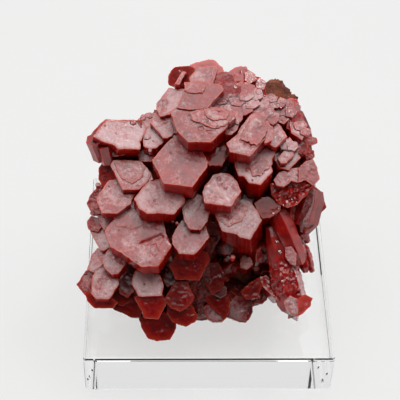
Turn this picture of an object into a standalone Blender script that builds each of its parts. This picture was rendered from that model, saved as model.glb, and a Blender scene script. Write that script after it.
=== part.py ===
"""Vanadinite on matrix, standing on a clear acrylic display block.

A cluster of intergrown hexagonal vanadinite tablets covers the front and the
top of a piece of brown rock. Units are metres, +Z is up, and the origin is
the middle of the block's underside. The front of the specimen faces -Y.
"""
import math

import bmesh
import bpy
import numpy as np
from mathutils import Matrix, Vector, noise

MM = 0.001

# ---------------------------------------------------------------- dimensions
BLOCK_SIDE = 50.0 * MM         # clear block, square in plan
BLOCK_HEIGHT = 11.0 * MM
BLOCK_EDGE = 0.5 * MM          # polished edge round the block
REST_GAP = 0.3 * MM            # between the block and what rests on it
PIECE_GAP = 0.35 * MM          # between neighbouring solids

ROCK_CENTRE = Vector((0.5, 6.0, 28.0)) * MM
ROCK_ROUNDNESS = 13.0          # higher is a more angular rock
ROCK_ROUGHNESS = 1.1 * MM

CORE_RADII = (20.5, 24.0, 11.0)    # crystal mass behind the tablets, in mm
CORE_CENTRE = (-0.5, -0.5, -5.5)   # in the drawing frame, mm
CORE_NOTCH_AT = 124.0          # the mass is thinner towards the upper left
CORE_NOTCH_DEPTH = 0.17
CRUST = 2.0 * MM               # crystal crust round the front of the rock
CRUST_EDGE_NORMAL = Vector((0.12, 0.90, -0.42))    # the crust ends behind this
CRUST_EDGE_AT = 7.0            # mm from the rock's centre
# Knobs where bare rock stands through the crust: a point on the drawing
# frame (mm), its height (mm) and its width (degrees about the centre).
ROCK_KNOBS = (((15.8, 22.0, 1.0), 3.2, 12.0), ((8.5, -19.5, -1.5), 4.0, 10.0))
ROOT_SCALE = 0.72              # each tablet's root, beside its face
ROOT_LENGTH = 6.5              # mm behind the tablet
ROOT_FROM = 27.0               # tablets wider than this on the board have one

# The tablets are laid out on a drawing board of 400 by 400 squares that is
# seen from a point above the front of the specimen. EYE is that point,
# BOARD_* its direction, and BOARD_SCALE the squares per unit of slope.
EYE = Vector((-8.3, -168.9, 211.8)) * MM
BOARD_AZIMUTH = math.radians(2.192)
BOARD_ELEVATION = math.radians(47.047)
BOARD_ROLL = math.radians(1.656)
BOARD_SCALE = 1238.6
BOARD_MIDDLE = 200.0
BOARD_FOCUS = Vector((0.0, 0.0, 30.0)) * MM     # depth 0 lies through here

# Each tablet: name, depth of its face towards the eye (mm), sideways and
# upward tilt of the face's normal, thickness (mm), corners on the board.
TABLETS = [
("crown", 14.0, 0.0, 0.38, 4.5, [(169.5,111),(177,131.5),(188,142.3),(211.5,142.5),(227,127.5),(231,118),(226,108),(207,106),(180,104)]),
("crown_stub", 10.5, -0.1, 0.30, 5, [(171.5,134),(180,128),(196,130),(192,150),(178,152),(172,143)]),
("shoulder", 12.2, 0.0, 0.36, 4, [(190,84),(198,80),(207,81.5),(222,85),(224.3,89.5),(213,102.5),(208,108.5),(190,110),(176,108),(183.5,92)]),
("top_plate", 9.6, 0.0, 0.40, 4, [(189,77),(199,66.5),(216.5,65.5),(218.5,70),(216,75),(213.5,84),(207,90),(190,88)]),
("top_rim", 7.2, 0.05, 0.45, 3.5, [(187,72),(190,64.5),(196,62),(209.5,59),(215,59.5),(219,64.5),(223,67),(224,71),(216,80),(192,80)]),
("left_stack", 7.5, -0.25, 0.05, 6, [(167.5,77),(170,71),(175,66.5),(190,65.5),(194,68),(191,80),(187,85),(180,89),(168,85)]),
("upper_left_a", 9.3, -0.08, 0.36, 4, [(168.5,87.5),(186,88.5),(182,107),(172,114),(160,117),(155.5,108.5),(156,103.5)]),
("upper_left_b", 9.6, 0.02, 0.38, 3.6, [(158,116.5),(169.5,109),(178,113),(180,129),(172,136),(168,138.5),(163,138.5),(160,134),(155,129),(150,123),(152,118)]),
("upper_left_c", 9.0, 0.0, 0.36, 3.6, [(150,122.5),(155,127),(162,130),(167,139),(158,148),(150,149.5),(143,146.5),(142.5,140),(143,134)]),
("upper_left_d", 6.6, -0.1, 0.36, 4, [(137,119.5),(147,112),(156,112.5),(160,117),(158,124),(150,130),(143,128)]),
("wing_base", 7.4, -0.15, 0.10, 5.5, [(89,136.3),(98.5,124.5),(105.5,119),(142,120),(141,149),(120,156),(104,159.5),(97,155.5)]),
("wing", 9.2, 0.15, 0.38, 3.6, [(92.5,136.3),(106.5,119.5),(142,120.5),(147,127.5),(141,142),(140.5,149.5),(118,149.5),(114,145.5),(103,142)]),
("left_second", 8.6, 0.02, 0.36, 3.2, [(110,165),(113,159.8),(130,159.5),(141,161),(148,168),(152,175),(147,183),(139.5,190),(122.5,190),(118,181)]),
("left_chip", 8.6, -0.05, 0.30, 3, [(141,174),(146,170.5),(151,171.5),(153.5,180),(145,184)]),
("left_small_a", 4.6, -0.15, 0.35, 3, [(103,172),(107,168),(114,172),(112,179),(104,180)]),
("left_small_b", 4.6, -0.1, 0.35, 3, [(103,179),(108,176),(115,179),(114,184),(104,185)]),
("left_third", 8.2, 0.02, 0.36, 2.8, [(95.5,199),(104,186),(108,180),(122,178),(140,184),(138,191.5),(132.5,199),(131,204),(117,213.8),(101.5,213.5)]),
("left_third_base", 5.2, -0.25, 0.15, 4.5, [(86,203),(90,195),(95,189),(103,182),(118,186),(112,212),(92,215)]),
("left_fourth", 5.0, 0.0, 0.30, 4, [(97,214),(99.5,209),(112,208),(120,212),(114,218.5),(108,228),(104,231),(100,224)]),
("left_tiny", 4.4, -0.2, 0.30, 2.5, [(93,209),(98,205),(103,210),(97,215)]),
("left_red_a", 4.0, -0.25, 0.20, 4, [(86,222),(91,215.5),(99,217),(103,226),(98,232),(88,230)]),
("left_red_b", 4.4, -0.15, 0.34, 4.5, [(89,226),(100,224),(110,230),(112,246),(104.5,251),(100,250.5),(90,232)]),
("left_big", 9.0, -0.02, 0.36, 4.2, [(104,231),(117.5,213.5),(124,204),(136,200),(150,204),(162,214),(167,235),(172,246.5),(158.5,266.8),(141,267),(120,252.5),(109.5,246.5)]),
("centre_left", 10.8, 0.05, 0.38, 4.2, [(133.5,199),(139,191),(148,181),(162,178),(180,186),(186,200),(183,203.5),(174.5,214.8),(160,213.5),(147,214),(139,209)]),
("centre", 12.4, 0.0, 0.38, 5.5, [(151.5,160),(168,141),(180,132),(196,138),(208.5,162),(207.5,167),(192.5,187.3),(163.3,183.7)]),
("centre_right", 10.3, 0.05, 0.34, 4.5, [(200,150),(209,166),(222,166),(230,154),(224,140),(208,138)]),
("heart", 11.8, 0.0, 0.38, 5.2, [(204.3,203),(202,192),(204.5,185),(209.5,180),(213,174.5),(221,172.5),(230,173.5),(237,181),(241.7,191),(231,207.3)]),
("right_big", 12.8, 0.0, 0.36, 5.0, [(226,143),(236,135),(240,127.5),(249,116),(252,113),(263.5,113),(266.5,121),(272.7,130.7),(262,143),(250,156.6),(229.8,152)]),
("right_second", 10.8, 0.0, 0.38, 9, [(234.6,166.8),(234,152),(244,146),(262,146),(273.5,149),(276,154),(272,158.5),(273.2,163),(271.3,166),(273,171.4),(260.7,185.2),(248.6,183),(244,176.4),(238.2,176)]),
("right_third", 10.4, 0.05, 0.36, 4, [(266,132),(271,125),(275,122.5),(279,123.5),(284,130),(287.7,136.5),(276.2,148),(273.5,147),(266,142)]),
("right_fourth", 9.2, 0.05, 0.36, 3, [(277.3,158),(282,152),(288.5,148.5),(292.5,150),(294.5,155),(286.5,163.3),(280.8,163.6)]),
("right_fourth_base", 7.6, 0.12, 0.34, 4, [(272,156),(279,168),(289,170.5),(301,158),(296,148),(282,146)]),
("right_edge_a", 7.6, 0.12, 0.34, 4.5, [(289,122),(302,118),(308,124.5),(306,131),(302.5,140.5),(291,133)]),
("right_small_a", 6.8, 0.1, 0.34, 3, [(287,106),(293,105),(296,109),(291,116),(286,116.5)]),
("right_small_b", 6.9, 0.05, 0.34, 3, [(277,110),(284,108.5),(288,113),(286,119.5),(280,118)]),
("right_small_c", 6.9, 0.05, 0.34, 3, [(273,96),(278,96),(277,102),(275,108),(269,106)]),
("right_upper", 9.6, 0.0, 0.36, 3.6, [(255,101),(270,101.5),(275.5,118),(269,124),(258,122),(250,112)]),
("upper_mid_a", 9.0, 0.0, 0.38, 3.4, [(236,92),(242,82.5),(248,81.5),(254.5,86.5),(260,96),(256,104),(243,104)]),
("upper_mid_b", 10.6, 0.0, 0.36, 3.8, [(218,94),(238,92),(249,100),(247,108.5),(242,116),(236,122),(224,118),(206,104)]),
("upper_mid_c", 11.4, 0.05, 0.38, 3.4, [(222,134.5),(231.8,135),(237.5,130.5),(240,124),(242,117),(238,111),(228,113),(222,124)]),
("top_red", 9.0, 0.05, 0.16, 5, [(214,78),(219,72),(223,71),(231,72),(235,77),(238,85),(238,94),(228,96),(220,92),(214,85)]),
("top_orange", 5.6, 0.1, 0.30, 4, [(228,72),(234,67.5),(242,65.5),(247,66.5),(248.5,70.5),(252,77),(248,82),(233,82)]),
("top_facet_a", 6.0, 0.1, 0.40, 2.5, [(245,73),(248,69),(255,73),(258,79),(250,84),(244,80.5)]),
("top_facet_b", 5.6, 0.15, 0.40, 2.5, [(254,80),(260,77),(267,82),(264,90),(256,88)]),
("top_dark", 5.4, 0.15, 0.05, 5, [(248,82),(265,85),(268,98),(260,106),(252,98)]),
("right_orange", 4.8, 0.2, 0.20, 3.5, [(284,100),(291,97.5),(297,99),(299,104),(294,110),(286,108)]),
("right_stub", 4.4, 0.3, 0.15, 5, [(302,137),(311,136.5),(317,137.5),(318.5,140),(317.5,144),(304,146)]),
("right_red_a", 6.0, 0.15, 0.10, 5, [(296,142.5),(306,143.5),(310,148),(309,155),(300,158),(295,148)]),
("right_red_b", 3.4, 0.25, 0.15, 4, [(304,147),(314.5,150.5),(314,158),(306,160)]),
("right_lump_a", 8.2, 0.05, 0.20, 7, [(270,180),(277,172.5),(290,170),(295,178),(296,196),(288,206),(278,203),(272,195)]),
("right_lump_b", 8.0, 0.15, 0.28, 8, [(286,171),(300,164),(306,159.5),(313,158),(318,170),(320,180),(314,192),(303,200),(292,196)]),
("far_right_a", 2.6, 0.30, 0.25, 7, [(303,197),(311,187),(318,186),(324,200),(327,209),(319,216),(313,228),(305,233),(302,215)]),
("far_right_b", 3.4, 0.1, 0.38, 4, [(294,212),(303,199),(311,198),(312,206),(302,221),(296,219)]),
("low_right_big", 10.2, -0.05, 0.40, 11.5, [(214,214),(222,203),(240,199),(250,201),(256,208),(262.3,220),(250.5,239.8),(241,238),(235,234),(222,232)]),
("low_right_small", 5.0, 0.0, 0.38, 3, [(240,258),(250,256),(254,264),(247,270),(240,268)]),
("low_mid_a", 9.6, 0.0, 0.36, 4.0, [(181.5,208),(184,201),(190,197),(198,193),(206,198),(212,207),(208,221),(200.5,230.3),(189.5,229.5),(184,221)]),
("low_mid_b", 9.9, 0.0, 0.36, 3.4, [(171.5,237),(176,227.5),(182,219.5),(195,219),(206,225),(209.7,237),(198,252),(193.6,255),(178.6,254),(172,243.5)]),
("low_mid_c", 6.2, 0.0, 0.02, 6, [(169,265),(176,254),(200,250),(208,252),(210,260),(206,268),(199.5,280.8),(175.5,279.8)]),
("low_mid_d", 3.2, 0.0, 0.15, 6, [(200,275),(208,262),(219,262),(225,274),(225,283),(221,290),(212,296)]),
("low_left_a", 5.6, 0.0, 0.32, 4, [(131,283),(134.5,270),(147,268),(160,274),(164,285),(162,296),(138.5,297)]),
("low_left_b", 5.6, 0.0, 0.08, 6, [(134,297),(146,291),(162,293),(167.5,302.5),(158.5,319.5),(144.5,318.5)]),
("low_centre_a", 5.4, 0.0, 0.22, 5, [(164,299),(171,287),(175.5,280),(188,281),(191,289),(195,298),(189,307),(180,312),(170,308)]),
("low_centre_b", 3.8, 0.0, 0.05, 6, [(167,302),(178,296),(190,301),(198,316),(196,322),(186,327),(178,325),(172,322),(166,312)]),
("foot_left", 1.2, 0.0, 0.02, 7, [(138,318),(150,310),(166,312),(176,322),(176.5,329),(170,340),(157,341.5),(148,339),(142,330)]),
("foot_mid_a", 2.0, 0.0, 0.18, 2.2, [(203,308),(207,303),(216,302),(221,308),(226,318),(222,322),(213,322.5),(207,319)]),
("foot_mid_b", 2.2, 0.0, 0.12, 6, [(204,299),(212,291),(219,286),(224,288),(230,300),(230,313),(225,320),(213,310)]),
("foot_right", 0.6, 0.05, 0.10, 5, [(227,302),(236,295),(249,297),(253,303),(253,312),(250,319),(246,323),(240,322.5),(228,318)]),
("foot_far", 0.2, 0.05, 0.10, 5, [(252,286),(260,277),(268,276),(270,286),(267,300),(262,304.5),(254,304)]),
("foot_far_b", -1.2, 0.1, 0.10, 5, [(264,284),(274,276),(284,284),(286,298),(276,301),(268,296)]),
("left_low_a", 5.0, 0.05, 0.34, 4.6, [(101.3,260.5),(114,266),(119.3,276),(119,285),(109.5,299.5),(96,299.3),(91,294),(92,276)]),
("left_low_b", 3.2, -0.2, 0.10, 5, [(76,284.5),(86,270),(94,268),(98,280),(94,297),(86,297),(81,291)]),
("left_low_c", 3.8, -0.15, 0.30, 4, [(91,255),(97,248),(104,248),(108,256),(102,266),(94,273),(86,270),(89,263)]),
("left_low_d", 6.0, 0.0, 0.34, 4, [(101.7,259.3),(108,248.5),(116,246),(126,254),(126,264),(118.5,274),(111.3,275),(104,268)]),
("left_low_e", 3.4, 0.0, 0.25, 4, [(117,282),(124,274),(134,278),(136,290),(128,298),(119,294)]),
("left_foot", 2.2, -0.05, 0.12, 6, [(110,301),(120,294),(135,293),(142,306),(141,318),(131,318),(124,314),(113,310)]),
("low_gray", 3.2, 0.0, 0.25, 4, [(160,280),(168,266),(176,268),(178,282),(168,288)]),
("right_fracture", 7.2, 0.1, 0.30, 5, [(254,203),(262,197),(273,196),(281,203),(281,211),(270,218),(262,219),(256,210)]),
("left_filler", 5.0, -0.10, 0.06, 5, [(98.5,168),(104,158),(115,158),(118,182),(102,186),(98,179)]),
("left_low_base", 4.0, -0.05, 0.02, 5, [(84,291),(96,296),(112,298),(118,303),(113,308.5),(94,308.5),(87,301)]),
]

# The upright blades on the right stand apart from the cluster.
BLADES = [
("blade_plate", 1.6, 0.0, 0.04, 5.5, [(283,252),(290,248),(299,248),(303,260),(312,270),(313,290),(313,300),(309,311),(301,318),(296,319),(289,312),(282,304),(285,294),(289,286),(288,275),(284,262)]),
("blade_left", 3.2, -0.25, 0.10, 5.5, [(270,219),(277,213),(285,212),(291,222),(297,238),(300,250),(290,254),(283,250),(273,240)]),
("blade_red", 1.8, 0.25, 0.10, 5.0, [(284,212),(296,212),(303,226),(306,240),(305,250),(298,256),(290,240)]),
("blade_olive", 1.2, 0.30, 0.08, 4.5, [(295,246),(304,242),(310,252),(315,262),(316,267),(313,272),(306,270),(299,262)]),
]

# The specimen's outline on the board: crystals placed by rule stay inside it.
OUTLINE = [(167,80),(176,68),(192,65),(213,61),(224,71),(236,69),(247,68),
           (262,79),(284,89),(296,99),(301,115),(308,127),(309,142),(312,158),
           (318,180),(323,200),(324,208),(312,222),(305,235),(306,250),(312,270),
           (311,290),(310,306),(298,316),(284,302),(266,296),(252,303),(246,321),
           (226,317),(204,309),(192,322),(172,330),(158,339),(147,330),(138,316),
           (113,306),(90,303),(79,286),(90,265),(96,247),(90,228),(92,213),
           (89,202),(101,186),(100,172),(101,157),(92,136),(106,121),(139,121),
           (158,112),(158,102),(169,89)]

# Small groups on the faces of the rock that the board does not show. Each is
# where it sits on the rock (direction from the rock's centre), how far the
# group spreads (mm) and the tablets' turns.
SPARE_GROUPS = {
    "crystals_back_top": ((0.10, 0.93, 0.34), 6.0, 5),
    "crystals_back_left": ((-0.50, 0.86, -0.06), 5.0, 4),
    "crystals_back_right": ((0.62, 0.76, -0.10), 5.0, 4),
    "crystals_back_low": ((-0.10, 0.93, -0.42), 4.5, 3),
}


# ------------------------------------------------------------------- helpers
def clear_scene():
    for obj in list(bpy.data.objects):
        bpy.data.objects.remove(obj, do_unlink=True)


def collection(name):
    coll = bpy.data.collections.new(name)
    bpy.context.scene.collection.children.link(coll)
    return coll


def material(name, colour, roughness, metallic=0.0, transmission=0.0):
    mat = bpy.data.materials.new(name)
    mat.use_nodes = True
    shader = mat.node_tree.nodes["Principled BSDF"]
    shader.inputs["Base Color"].default_value = (*colour, 1.0)
    shader.inputs["Roughness"].default_value = roughness
    shader.inputs["Metallic"].default_value = metallic
    shader.inputs["Transmission Weight"].default_value = transmission
    mat.diffuse_color = (*colour, 1.0)
    return mat


def add_object(name, mesh, coll, mat=None):
    obj = bpy.data.objects.new(name, mesh)
    coll.objects.link(obj)
    if mat is not None:
        obj.data.materials.clear()
        obj.data.materials.append(mat)
    return obj


def as_guide(obj):
    obj.hide_render = True
    obj.display_type = 'WIRE'
    return obj


def board_axes():
    """Right, up and forward directions of the drawing board."""
    forward = Vector((math.sin(BOARD_AZIMUTH) * math.cos(BOARD_ELEVATION),
                      math.cos(BOARD_AZIMUTH) * math.cos(BOARD_ELEVATION),
                      -math.sin(BOARD_ELEVATION)))
    right = forward.cross(Vector((0, 0, 1))).normalized()
    up = right.cross(forward)
    c, s = math.cos(BOARD_ROLL), math.sin(BOARD_ROLL)
    return c * right + s * up, -s * right + c * up, forward


RIGHT, UP, FORWARD = board_axes()
FOCUS_DEPTH = (BOARD_FOCUS - EYE).dot(FORWARD)


def sight_line(x, y):
    return (FORWARD + RIGHT * ((x - BOARD_MIDDLE) / BOARD_SCALE)
            - UP * ((y - BOARD_MIDDLE) / BOARD_SCALE))


def board_point(u, v, w):
    """A point from millimetres across, up and towards the eye."""
    return BOARD_FOCUS + (RIGHT * u + UP * v - FORWARD * w) * MM


def tablet(spec, coll, grow=0.0):
    """A tablet crystal: its face outline, extruded along the face's normal."""
    name, depth, tilt_x, tilt_y, thick, corners = spec
    normal = (RIGHT * tilt_x + UP * tilt_y
              - FORWARD * math.sqrt(1 - tilt_x ** 2 - tilt_y ** 2))
    xs = [c[0] for c in corners]
    ys = [c[1] for c in corners]
    middle = EYE + sight_line((min(xs) + max(xs)) / 2,
                              (min(ys) + max(ys)) / 2) * (FOCUS_DEPTH - depth * MM)
    side = UP.cross(normal).normalized()
    rise = normal.cross(side)
    flat = []
    for x, y in corners:
        ray = sight_line(x, y)
        hit = EYE + ray * ((middle - EYE).dot(normal) / ray.dot(normal))
        flat.append(((hit - middle).dot(side), (hit - middle).dot(rise)))
    if grow:
        cx = sum(p[0] for p in flat) / len(flat)
        cy = sum(p[1] for p in flat) / len(flat)
        grown = []
        for px, py in flat:
            reach = math.hypot(px - cx, py - cy)
            k = (reach + 1.6 * grow) / reach
            grown.append((cx + (px - cx) * k, cy + (py - cy) * k))
        flat = grown
    thickness = thick * MM + 2 * grow
    frame = Matrix((side, rise, normal)).transposed().to_4x4()
    frame.translation = middle + normal * (grow - thickness / 2)
    return extruded(name, flat, thickness, frame, coll)


def extruded(name, flat, thickness, frame, coll):
    """A flat outline made solid, placed by a 4 x 4 frame."""
    curve = bpy.data.curves.new(name, 'CURVE')
    curve.dimensions = '2D'
    curve.fill_mode = 'BOTH'
    curve.extrude = thickness / 2
    spline = curve.splines.new('POLY')
    spline.points.add(len(flat) - 1)
    for point, (x, y) in zip(spline.points, flat):
        point.co = (x, y, 0.0, 1.0)
    spline.use_cyclic_u = True
    outline = bpy.data.objects.new(name + "_outline", curve)
    coll.objects.link(outline)
    outline.matrix_world = frame
    bpy.context.view_layer.update()
    depsgraph = bpy.context.evaluated_depsgraph_get()
    mesh = bpy.data.meshes.new_from_object(outline.evaluated_get(depsgraph))
    bm = bmesh.new()
    bm.from_mesh(mesh)
    bmesh.ops.remove_doubles(bm, verts=bm.verts, dist=1e-6)
    bmesh.ops.dissolve_limit(bm, angle_limit=0.001, verts=bm.verts, edges=bm.edges)
    bm.transform(frame)
    bmesh.ops.recalc_face_normals(bm, faces=bm.faces)
    bm.to_mesh(mesh)
    bm.free()
    bpy.data.objects.remove(outline, do_unlink=True)
    bpy.data.curves.remove(curve)
    mesh.name = name
    return as_guide(add_object(name, mesh, coll))


def inside_outline(point):
    """Whether a point lies inside the outline as seen from the eye."""
    ray = point - EYE
    depth = ray.dot(FORWARD)
    x = BOARD_MIDDLE + BOARD_SCALE * ray.dot(RIGHT) / depth
    y = BOARD_MIDDLE - BOARD_SCALE * ray.dot(UP) / depth
    inside = False
    for i, (ax, ay) in enumerate(OUTLINE):
        bx, by = OUTLINE[i - 1]
        if (ay > y) != (by > y) and x < (bx - ax) * (y - ay) / (by - ay) + ax:
            inside = not inside
    return inside


def rock_reach(direction, knobs=True):
    """Distance from the rock's centre to its surface: soft-cornered planes."""
    planes = (((0.0, 0.0, -1.0), 18.0),          # underside
              ((0.0, -0.682, 0.731), 6.8),       # slope behind the tablets
              ((0.05, -1.0, -0.12), 14.0),       # lower front
              ((0.10, 1.0, 0.08), 16.5),         # back
              ((-0.10, 0.70, 0.71), 20.5),       # back shoulder
              ((0.10, 0.15, 1.0), 20.8),         # top
              ((-1.0, 0.0, 0.16), 17.4),         # left
              ((1.0, 0.0, 0.02), 18.6),          # right
              ((-0.72, 0.10, 0.69), 14.2),       # left shoulder
              ((0.70, 0.05, 0.71), 24.0),        # right shoulder
              ((-0.75, -0.65, 0.0), 18.0),       # front corners
              ((0.75, -0.65, 0.0), 18.5),
              ((-0.78, 0.62, -0.10), 20.0),      # back corners
              ((0.62, 0.78, 0.10), 21.5))
    total = 0.0
    for normal, distance in planes:
        along = Vector(normal).normalized().dot(direction)
        if along > 0:
            total += (along / (distance * MM)) ** ROCK_ROUNDNESS
    reach = total ** (-1.0 / ROCK_ROUNDNESS)
    for (u, v, w), height, width in (ROCK_KNOBS if knobs else ()):
        toward = (board_point(u, v, w) - ROCK_CENTRE).normalized()
        apart = math.degrees(math.acos(max(-1.0, min(1.0, toward.dot(direction)))))
        reach += height * MM * math.exp(-(apart / width) ** 2)
    return reach


def rock_mesh(name, grow=0.0, fineness=4):
    bm = bmesh.new()
    bmesh.ops.create_icosphere(bm, subdivisions=fineness, radius=1.0)
    for vert in bm.verts:
        direction = vert.co.normalized()
        reach = rock_reach(direction)
        bumps = noise.fractal(direction * 3.1 + Vector((4.0, 1.0, 7.0)), 0.8, 2.1, 4)
        vert.co = ROCK_CENTRE + direction * (reach + bumps * ROCK_ROUGHNESS + grow)
    cut_flat(bm, BLOCK_HEIGHT + REST_GAP - grow)
    bmesh.ops.recalc_face_normals(bm, faces=bm.faces)
    mesh = bpy.data.meshes.new(name)
    bm.to_mesh(mesh)
    bm.free()
    return mesh


def cut_flat(bm, level):
    """Cuts a closed solid off flat at a level and closes the cut."""
    geom = bm.verts[:] + bm.edges[:] + bm.faces[:]
    cut = bmesh.ops.bisect_plane(bm, geom=geom, dist=1e-7, plane_co=(0, 0, level),
                                 plane_no=(0, 0, -1), clear_outer=True)
    rim = [e for e in cut['geom_cut'] if isinstance(e, bmesh.types.BMEdge)]
    if rim:
        bmesh.ops.contextual_create(bm, geom=rim)


def core_mesh(name):
    """The massive vanadinite that the tablets grow out of."""
    bm = bmesh.new()
    bmesh.ops.create_icosphere(bm, subdivisions=3, radius=1.0)
    for vert in bm.verts:
        d = vert.co.normalized()
        lump = 1.0 + 0.05 * noise.fractal(d * 2.3 + Vector((9.0, 2.0, 5.0)), 0.9, 2.0, 3)
        around = math.degrees(math.atan2(d.y, d.x))
        lump -= CORE_NOTCH_DEPTH * math.exp(-((around - CORE_NOTCH_AT) / 20.0) ** 2)
        vert.co = board_point(CORE_CENTRE[0] + CORE_RADII[0] * d.x * lump,
                              CORE_CENTRE[1] + CORE_RADII[1] * d.y * lump,
                              CORE_CENTRE[2] + CORE_RADII[2] * d.z * lump)
    bmesh.ops.recalc_face_normals(bm, faces=bm.faces)
    mesh = bpy.data.meshes.new(name)
    bm.to_mesh(mesh)
    bm.free()
    return mesh


def crust_mesh(name):
    """The crystal crust that wraps the front, top and flanks of the rock."""
    bm = bmesh.new()
    bmesh.ops.create_icosphere(bm, subdivisions=4, radius=1.0)
    for vert in bm.verts:
        direction = vert.co.normalized()
        seat = rock_point(direction, knobs=False)
        behind = (seat - ROCK_CENTRE).dot(CRUST_EDGE_NORMAL) / MM - CRUST_EDGE_AT
        behind += 6.0 * noise.noise(direction * 2.6 + Vector((3.0, 8.0, 1.0)))
        rise = CRUST * max(-1.0, min(1.0, -behind / 1.5))
        lumps = noise.noise(direction * 7.0 + Vector((1.0, 5.0, 2.0))) * 0.6 * MM
        vert.co = seat + direction * (rise + lumps)
    bmesh.ops.recalc_face_normals(bm, faces=bm.faces)
    mesh = bpy.data.meshes.new(name)
    bm.to_mesh(mesh)
    bm.free()
    return mesh


def hollow(name, middle, radii, coll):
    """An egg-shaped cutter, its axes along the board's, sizes in mm."""
    bm = bmesh.new()
    bmesh.ops.create_icosphere(bm, subdivisions=3, radius=1.0)
    bm.transform(Matrix.Diagonal((*(r * MM for r in radii), 1.0)))
    bm.transform(Matrix((RIGHT, UP, -FORWARD)).transposed().to_4x4())
    bm.transform(Matrix.Translation(board_point(*middle)))
    mesh = bpy.data.meshes.new(name)
    bm.to_mesh(mesh)
    bm.free()
    return as_guide(add_object(name, mesh, coll))


def root(spec):
    """The narrower stem that carries a tablet, as a tablet of its own."""
    name, depth, tilt_x, tilt_y, thick, corners = spec
    cx = sum(c[0] for c in corners) / len(corners)
    cy = sum(c[1] for c in corners) / len(corners)
    small = [(cx + (x - cx) * ROOT_SCALE, cy + (y - cy) * ROOT_SCALE)
             for x, y in corners]
    return (name + "_root", depth - 0.5, tilt_x, tilt_y, thick + ROOT_LENGTH, small)


def flank_tablets(coll, rng):
    """Tablets round the rim of the crust, where the board's view ends."""
    toward = -FORWARD
    made = 0
    for ring, (polar, count) in enumerate(((72, 20), (92, 20), (112, 16))):
        for i in range(count):
            around = math.radians(360 * (i + 0.5 * ring) / count) + rng.uniform(-0.12, 0.12)
            tip = math.radians(polar + rng.uniform(-6, 6))
            direction = (toward * math.cos(tip)
                         + (RIGHT * math.cos(around) + UP * math.sin(around)) * math.sin(tip))
            seat = rock_point(direction, knobs=False) + direction * CRUST
            if (seat - ROCK_CENTRE).dot(CRUST_EDGE_NORMAL) / MM > CRUST_EDGE_AT - 0.5:
                continue
            radius = rng.uniform(2.0, 3.6) * MM
            lean = Vector(rng.uniform(-0.3, 0.3, 3))
            normal = (direction * 0.8 + toward * 0.45 + lean).normalized()
            side = normal.orthogonal().normalized()
            rise = normal.cross(side)
            flat = hexagon(radius, rng.uniform(0.85, 1.15), rng.uniform(0, 1))
            thick = rng.uniform(4.0, 6.0) * MM
            proud = rng.uniform(0.8, 2.2) * MM
            # sink the tablet until it stays inside the outline
            for _ in range(8):
                face = seat + normal * proud
                corners = [face + side * x + rise * y - normal * d
                           for x, y in flat for d in (0.0, thick)]
                if all(inside_outline(c) for c in corners):
                    break
                proud -= 0.6 * MM
            else:
                continue
            if min(c.z for c in corners) < BLOCK_HEIGHT - 2 * MM:
                continue
            frame = Matrix((side, rise, normal)).transposed().to_4x4()
            frame.translation = face - normal * (thick / 2)
            extruded(f"flank_{ring}_{i}", flat, thick, frame, coll)
            made += 1
    return made


def boolean(obj, operation, other):
    mod = obj.modifiers.new(operation.title(), 'BOOLEAN')
    mod.operation = operation
    if isinstance(other, bpy.types.Collection):
        mod.operand_type = 'COLLECTION'
        mod.collection = other
    else:
        mod.object = other
    return mod


def islands(bm):
    seen = set()
    for start in bm.faces:
        if start in seen:
            continue
        stack, found = [start], []
        seen.add(start)
        while stack:
            face = stack.pop()
            found.append(face)
            for edge in face.edges:
                for near in edge.link_faces:
                    if near not in seen:
                        seen.add(near)
                        stack.append(near)
        yield found


def shell_volume(faces):
    total = 0.0
    for face in faces:
        a = face.verts[0].co
        for i in range(1, len(face.verts) - 1):
            total += a.dot(face.verts[i].co.cross(face.verts[i + 1].co)) / 6.0
    return total


def settle(obj, name, coll, mat):
    """The evaluated solid as a plain mesh: its largest body, without voids."""
    bpy.context.view_layer.update()
    depsgraph = bpy.context.evaluated_depsgraph_get()
    mesh = bpy.data.meshes.new_from_object(obj.evaluated_get(depsgraph))
    bm = bmesh.new()
    bm.from_mesh(mesh)
    bmesh.ops.remove_doubles(bm, verts=bm.verts, dist=2e-6)
    bmesh.ops.dissolve_degenerate(bm, edges=bm.edges, dist=2e-6)
    shells = sorted(((shell_volume(f), f) for f in islands(bm)), key=lambda s: -s[0])
    spare = [f for _, faces in shells[1:] for f in faces]
    bmesh.ops.delete(bm, geom=spare, context='FACES')
    bm.to_mesh(mesh)
    bm.free()
    mesh.name = name
    return add_object(name, mesh, coll, mat)


def hexagon(radius, stretch, turn):
    """Corners of a slightly uneven hexagon, in the plane of its face."""
    points = []
    for i in range(6):
        angle = turn + math.radians(60 * i)
        points.append((radius * stretch * math.cos(angle),
                       radius * math.sin(angle)))
    return points


def rock_point(direction, knobs=True):
    direction = Vector(direction).normalized()
    return ROCK_CENTRE + direction * rock_reach(direction, knobs)


def spare_group(name, spec, coll, rng):
    """Overlapping small tablets standing proud of one face of the rock."""
    direction, spread, count = spec
    outward = Vector(direction).normalized()
    seat = rock_point(outward)
    made = []
    for i in range(count):
        lean = Vector(rng.uniform(-0.45, 0.45, 3))
        normal = (outward + lean).normalized()
        side = normal.orthogonal().normalized()
        rise = normal.cross(side)
        shift = Vector(rng.uniform(-0.4, 0.4, 3)) * spread * MM
        shift -= outward * shift.dot(outward)
        radius = spread * MM * rng.uniform(0.42, 0.62)
        thick = radius * rng.uniform(0.9, 1.3)
        proud = radius * rng.uniform(0.25, 0.55)
        frame = Matrix((side, rise, normal)).transposed().to_4x4()
        frame.translation = seat + shift + normal * (proud - thick / 2)
        made.append(extruded(f"{name}_{i}", hexagon(radius, rng.uniform(0.85, 1.15),
                                                    rng.uniform(0, 1)),
                             thick, frame, coll))
    return made


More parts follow.
